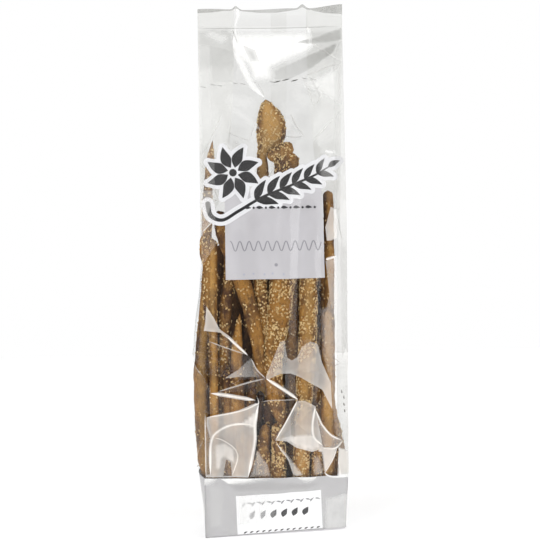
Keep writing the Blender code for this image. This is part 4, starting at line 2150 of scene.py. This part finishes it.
# Breadsticks in the bag. The darkest tones, 0.2 and under, are painted shade: dark sticks in the core and in
# gaps between the front sticks, where the bundle lies in shadow.
BREADSTICKS = (
    Stick("tall", ((-6, 5), (-8, 50), (-10, 100), (-9, 150), (-7.5, 190), (-6.5, 230), (-6.5, 255),
        (-6.5, 266), (-3, 272), (-0.5, 279), (0, 285), (-1, 291), (-2.5, 297), (-4, 304)), (5, 5.5, 5.5, 6, 6,
        5.5, 4, 3.5, 7.5, 10, 10, 8.5, 6, 1.5), (14, 14, 14, 13, 12, 11, 10, 8, 6, 6), 0.55, 1.22, 0.62, 3.0,
        dense=(266, 302)),
    Stick("front_seeded", ((5.5, 74), (4, 84), (1, 93), (-0.5, 105), (-2.5, 121), (1, 145), (5.5, 179),
        (7.5, 215), (9.5, 250), (11, 268)), (2, 4.5, 6, 6.5, 6.5, 7, 8.5, 8.5, 8.5, 8), (3, 2, 2, 1.5, 1.5, 1,
        1, 1.5, 3, 3.5), 2.6, 0.9, 0.7, 6.0, 8.0, dense=(112, 272)),
    Stick("front_knob", ((-3.5, 264), (3, 266), (10, 269), (15, 269)), (3.5, 5, 5.5, 5.5), (4, 3.5, 3, 3),
        1.4, 1.05, 0.8, 4.5, 4.0),
    Stick("blade", ((-46, 150), (-46, 200), (-45.5, 225), (-44.5, 246), (-43, 262), (-41, 276)),
        (3, 3, 3.5, 3, 2.5, 1), (1,), 0.5, 1.05, 0.5, 14.0),
    Stick("left_outer", ((-45, 4), (-48.5, 45), (-51, 98), (-50, 135), (-48.5, 165), (-47.5, 212)),
        (5, 5.5, 5.5, 5, 4, 3), (12, 14, 14, 12, 9, 4), 0.12, 1.12, 0.85, 5.0),
    Stick("left_inner", ((-42, 4), (-42.5, 50), (-42.5, 103), (-42.5, 134), (-43, 165), (-42, 209)),
        (3.5, 3.5, 3, 3, 3.5, 3.5), (1,), 0.15, 1.1, 0.85, 5.0),
    Stick("diagonal", ((-9, 106), (-10.5, 118), (-13.5, 146), (-22.5, 180), (-32.5, 207), (-38, 228)),
        (2.5, 3.5, 5, 5.5, 5.5, 5), (1, 1, 1, 1, 1, 1.5), 0.18, 0.9, 0.8, 6.0, 12.0),
    Stick("left_seeded", ((-34, 5), (-34.5, 60), (-34.5, 130), (-34, 146), (-33, 165), (-31, 182),
        (-30.5, 202)), (4, 4, 4, 4, 4.5, 4, 4), (9.5, 8, 7, 6, 6, 8), 0.55, 0.9, 0.85, 5.0),
    Stick("left_point", ((-26, 5), (-26.5, 60), (-27, 100), (-26.5, 125), (-25.5, 142), (-24, 157)),
        (5.5, 5.5, 5.5, 4.5, 3, 1.5), (2, 2, 2, 3, 4, 5), 0.25, 0.99, 0.85, 14.0),
    Stick("left_hidden", ((-33, 4), (-33.5, 60), (-33, 119)), (3.5, 3.5, 3), (3, 3, 4), 0.2, 0.75),
    Stick("middle_low", ((-19, 4), (-18, 50), (-17.5, 85), (-15.5, 114)), (4, 4, 3.5, 3), (5.5, 5.5, 6), 0.2,
        0.62),
    Stick("middle_shade", ((-5, 56), (-4.5, 80), (-5.5, 97)), (4, 4, 3.5), (9,), 0.2, 0.05),
    Stick("speckled", ((-6, 130), (-8, 158), (-9.5, 179), (-9, 216)), (3, 4, 4.5, 4), (5,), 2.0, 0.85),
    Stick("dark_back", ((12.5, 5), (13.5, 60), (12.5, 127), (11.5, 152), (12.5, 200)), (5,),
        (13, 13, 12, 10, 10), 0.35, 0.8),
    Stick("right_seeded", ((17, 4), (17.5, 50), (20, 100), (22.5, 134), (23.5, 179), (24.5, 236)),
        (5.5, 5.5, 5.5, 6, 6, 5.5), (2, 2, 1.5, 1, 1, 2), 2.4, 1.1, 0.8, 6.0),
    Stick("right_low", ((28.5, 4), (29, 60), (29.5, 110), (30.5, 150)), (4, 4, 3.5, 3), (8,), 0.6, 0.6),
    Stick("right_smooth", ((35.5, 4), (36, 43), (36.5, 96), (37, 150), (36.5, 159)), (5, 5, 5, 4.5, 4),
        (2, 2, 2, 2, 2.5), 0.08, 1.12, 0.8, 4.5),
    Stick("right_foot", ((43.5, 4), (44.5, 40), (45, 56), (43.5, 66), (41, 80), (37, 102)),
        (4.5, 4.5, 4.5, 4, 3.5, 2.5), (12, 11, 10, 8, 6), 0.8, 0.95),
    Stick("right_back", ((37, 4), (37.5, 60), (38, 120), (38.5, 183), (38, 241)), (4, 4, 3.5, 3.5, 3.5),
        (11, 11, 10, 7, 4), 0.2, 1.05, 0.85, 4.0),
    Stick("low_smooth", ((-9.5, 4), (-9, 45), (-8.5, 64), (-7, 80)), (6, 6, 4.5, 3.5), (3,), 1.0, 0.85,
        dense=(0, 60)),
    Stick("low_seeded", ((1.5, 4), (1.5, 45), (1.5, 65), (-0.5, 81)), (5.5, 5, 4.5, 2.5), (2, 2, 3), 2.8,
        0.85),
    Stick("left_side", ((-46, 8), (-49.5, 50), (-51, 95), (-49, 142)), (4.5, 4.5, 4.5, 4), (21, 21, 21, 20),
        0.25, 0.8),
    Stick("core_a", ((-28, 5), (-29, 90), (-26, 170), (-24, 214)), (5.5, 6, 5.5, 5), (23, 23, 22, 20), 0.05,
        0.2),
    Stick("core_b", ((-14, 5), (-17, 80), (-18, 150), (-16, 206)), (5.5, 6, 6, 5.5), (26, 26, 25, 22), 0.05,
        0.2),
    Stick("core_c", ((1, 5), (2, 80), (-2, 150), (2, 226)), (6, 6, 6, 5.5), (29, 29, 28, 24), 0.05, 0.2),
    Stick("core_d", ((24, 5), (26, 90), (25, 160), (22, 216)), (5.5, 6, 5.5, 5), (23, 23, 22, 20), 0.05, 0.2),
    Stick("core_e", ((-39, 5), (-39, 90), (-37, 150), (-36, 204)), (4.5, 5, 4.5, 4), (24, 24, 23, 21), 0.05,
        0.2),
    Stick("mid_left", ((-43, 5), (-44, 70), (-43.5, 130), (-42, 186)), (4.5, 5, 5, 4.5), (29, 29, 28, 26),
        0.5, 0.75),
    Stick("mid_right", ((38, 5), (38, 70), (37.5, 130), (36, 192)), (5, 5, 5, 4.5), (26, 26, 25, 23), 0.4,
        0.7),
    Stick("rear_a", ((-39, 5), (-41, 70), (-40, 130), (-37, 190)), (5, 5.5, 5.5, 5), (40,), 0.6, 0.9),
    Stick("rear_b", ((-25, 5), (-27, 80), (-24, 150), (-23, 214)), (5.5, 5.5, 5.5, 5), (40,), 1.2, 0.95),
    Stick("rear_c", ((-11, 5), (-10, 90), (-13, 160), (-12, 226)), (5.5, 6, 6, 5), (40,), 0.3, 1.0),
    Stick("rear_d", ((6, 5), (5, 80), (8, 150), (3, 240)), (6, 6, 6, 5.5), (40,), 1.4, 0.97),
    Stick("rear_e", ((19, 5), (21, 90), (19, 150), (20, 208)), (5.5, 5.5, 5.5, 5), (40,), 0.4, 1.0),
    Stick("rear_f", ((33, 5), (33, 80), (34, 140), (31, 196)), (5.5, 5.5, 5.5, 5), (40,), 1.0, 0.94),
    Stick("right_stub", ((28, 4), (28, 45), (28.5, 60), (28, 68)), (3.5, 3.5, 3.5, 2.5), (1.5, 1.5, 2), 0.8,
        1.0),
    Stick("gap_shade", ((-12.5, 60), (-11.5, 80), (-10, 102)), (3.5, 3.5, 3), (12,), 0.05, 0.02),
)


# ---- studio


@dataclass(frozen=True)
class Softbox:
    """A large soft light: where it stands, how large it is and how bright."""

    name: str
    place: Triple
    size: Pair
    watts: float
    aim: Triple = (0.0, 0.0, 0.17)

    def build(self) -> None:
        """Make the light and aim it."""
        data = bpy.data.lights.new(self.name, "AREA")
        data.shape = "RECTANGLE"
        data.size, data.size_y = self.size
        data.energy = self.watts
        light = bpy.data.objects.new(self.name, data)
        light.location = self.place
        light.rotation_euler = (Vector(self.aim) - Vector(self.place)).to_track_quat("-Z", "Y").to_euler()
        bpy.context.scene.collection.objects.link(light)


@dataclass
class Studio:
    """A pale floor, soft lights from both sides and above, white surroundings, and the camera."""

    floor_half: float = 0.9
    floor_level: float = 0.4
    floor_drop: float = 0.004
    floor_points: int = 41
    glow: float = 0.2
    boxes: tuple = (
        Softbox("left_softbox", (-0.90, -0.90, 0.50), (1.1, 1.3), 10.2),
        Softbox("right_softbox", (0.95, -0.85, 0.45), (1.1, 1.3), 8.5),
        Softbox("top_softbox", (0.0, -0.2, 1.20), (1.0, 0.8), 2.8),
        Softbox("rear_softbox", (0.3, 1.1, 0.60), (1.2, 0.8), 4.5),
    )
    lens: float = 95.4
    sensor: float = 36.0
    eye: Triple = (-0.0513, -0.9986, 0.27)
    right: Triple = (0.99852, -0.05334, -0.01078)
    up: Triple = (0.01523, 0.08371, 0.99637)
    ahead: Triple = (0.05225, 0.99506, -0.08440)
    clear_layers: int = 24

    def floor(self) -> None:
        """A gently rolling pale floor, level under the bag."""
        count = self.floor_points
        steps = np.linspace(-self.floor_half, self.floor_half, count)
        x, y = (a.ravel() for a in np.meshgrid(steps, steps))
        z = -self.floor_drop * smooth(self.floor_level, self.floor_half, np.hypot(x, y))
        faces = grid_faces(count, count)
        new_object("studio_floor", np.column_stack([x, y, z]), faces, PaleFloor().material())

    def surroundings(self) -> None:
        """White behind the bag, and a softer glow all round it."""
        graph = Graph(bpy.data.worlds.new("studio"))
        seen = graph.node("ShaderNodeBackground", {}, {"Color": WHITE})
        felt = graph.node("ShaderNodeBackground", {}, {"Color": WHITE, "Strength": self.glow})
        direct = graph.node("ShaderNodeLightPath", output="Is Camera Ray")
        bpy.context.scene.world = graph.finish(graph.join(direct, felt, seen))

    def camera(self) -> None:
        """The camera, a little above the middle of the bag and to its left."""
        data = bpy.data.cameras.new("camera")
        data.lens, data.sensor_width = self.lens, self.sensor
        camera = bpy.data.objects.new("camera", data)
        axes = zip(self.right, self.up, (-a for a in self.ahead), self.eye)
        camera.matrix_world = Matrix([*axes, (0.0, 0.0, 0.0, 1.0)])
        bpy.context.scene.collection.objects.link(camera)
        bpy.context.scene.camera = camera

    def build(self) -> None:
        """Build all of it, with true colours and enough clear layers for the film."""
        self.floor()
        self.surroundings()
        self.camera()
        for box in self.boxes:
            box.build()
        bpy.context.scene.view_settings.view_transform = "Standard"
        bpy.context.scene.cycles.transparent_max_bounces = self.clear_layers


def main() -> None:
    """Build the studio, the film, the inks, the breadsticks and their seeds."""
    logging.basicConfig(level=logging.INFO, format="%(name)s %(message)s")
    Studio().build()
    form = BagForm()
    form.align(NODE)
    film = Film(form)
    film.build()
    FrontArtwork(film.sheets[Panel.FRONT]).build()
    SilverBand(film.sheets).build()
    bundle = Bundle(form, film.sheets[Panel.FRONT].net, BREADSTICKS)
    bundle.build()
    SesameSeeds(bundle).build()


if __name__ == "__main__":
    main()
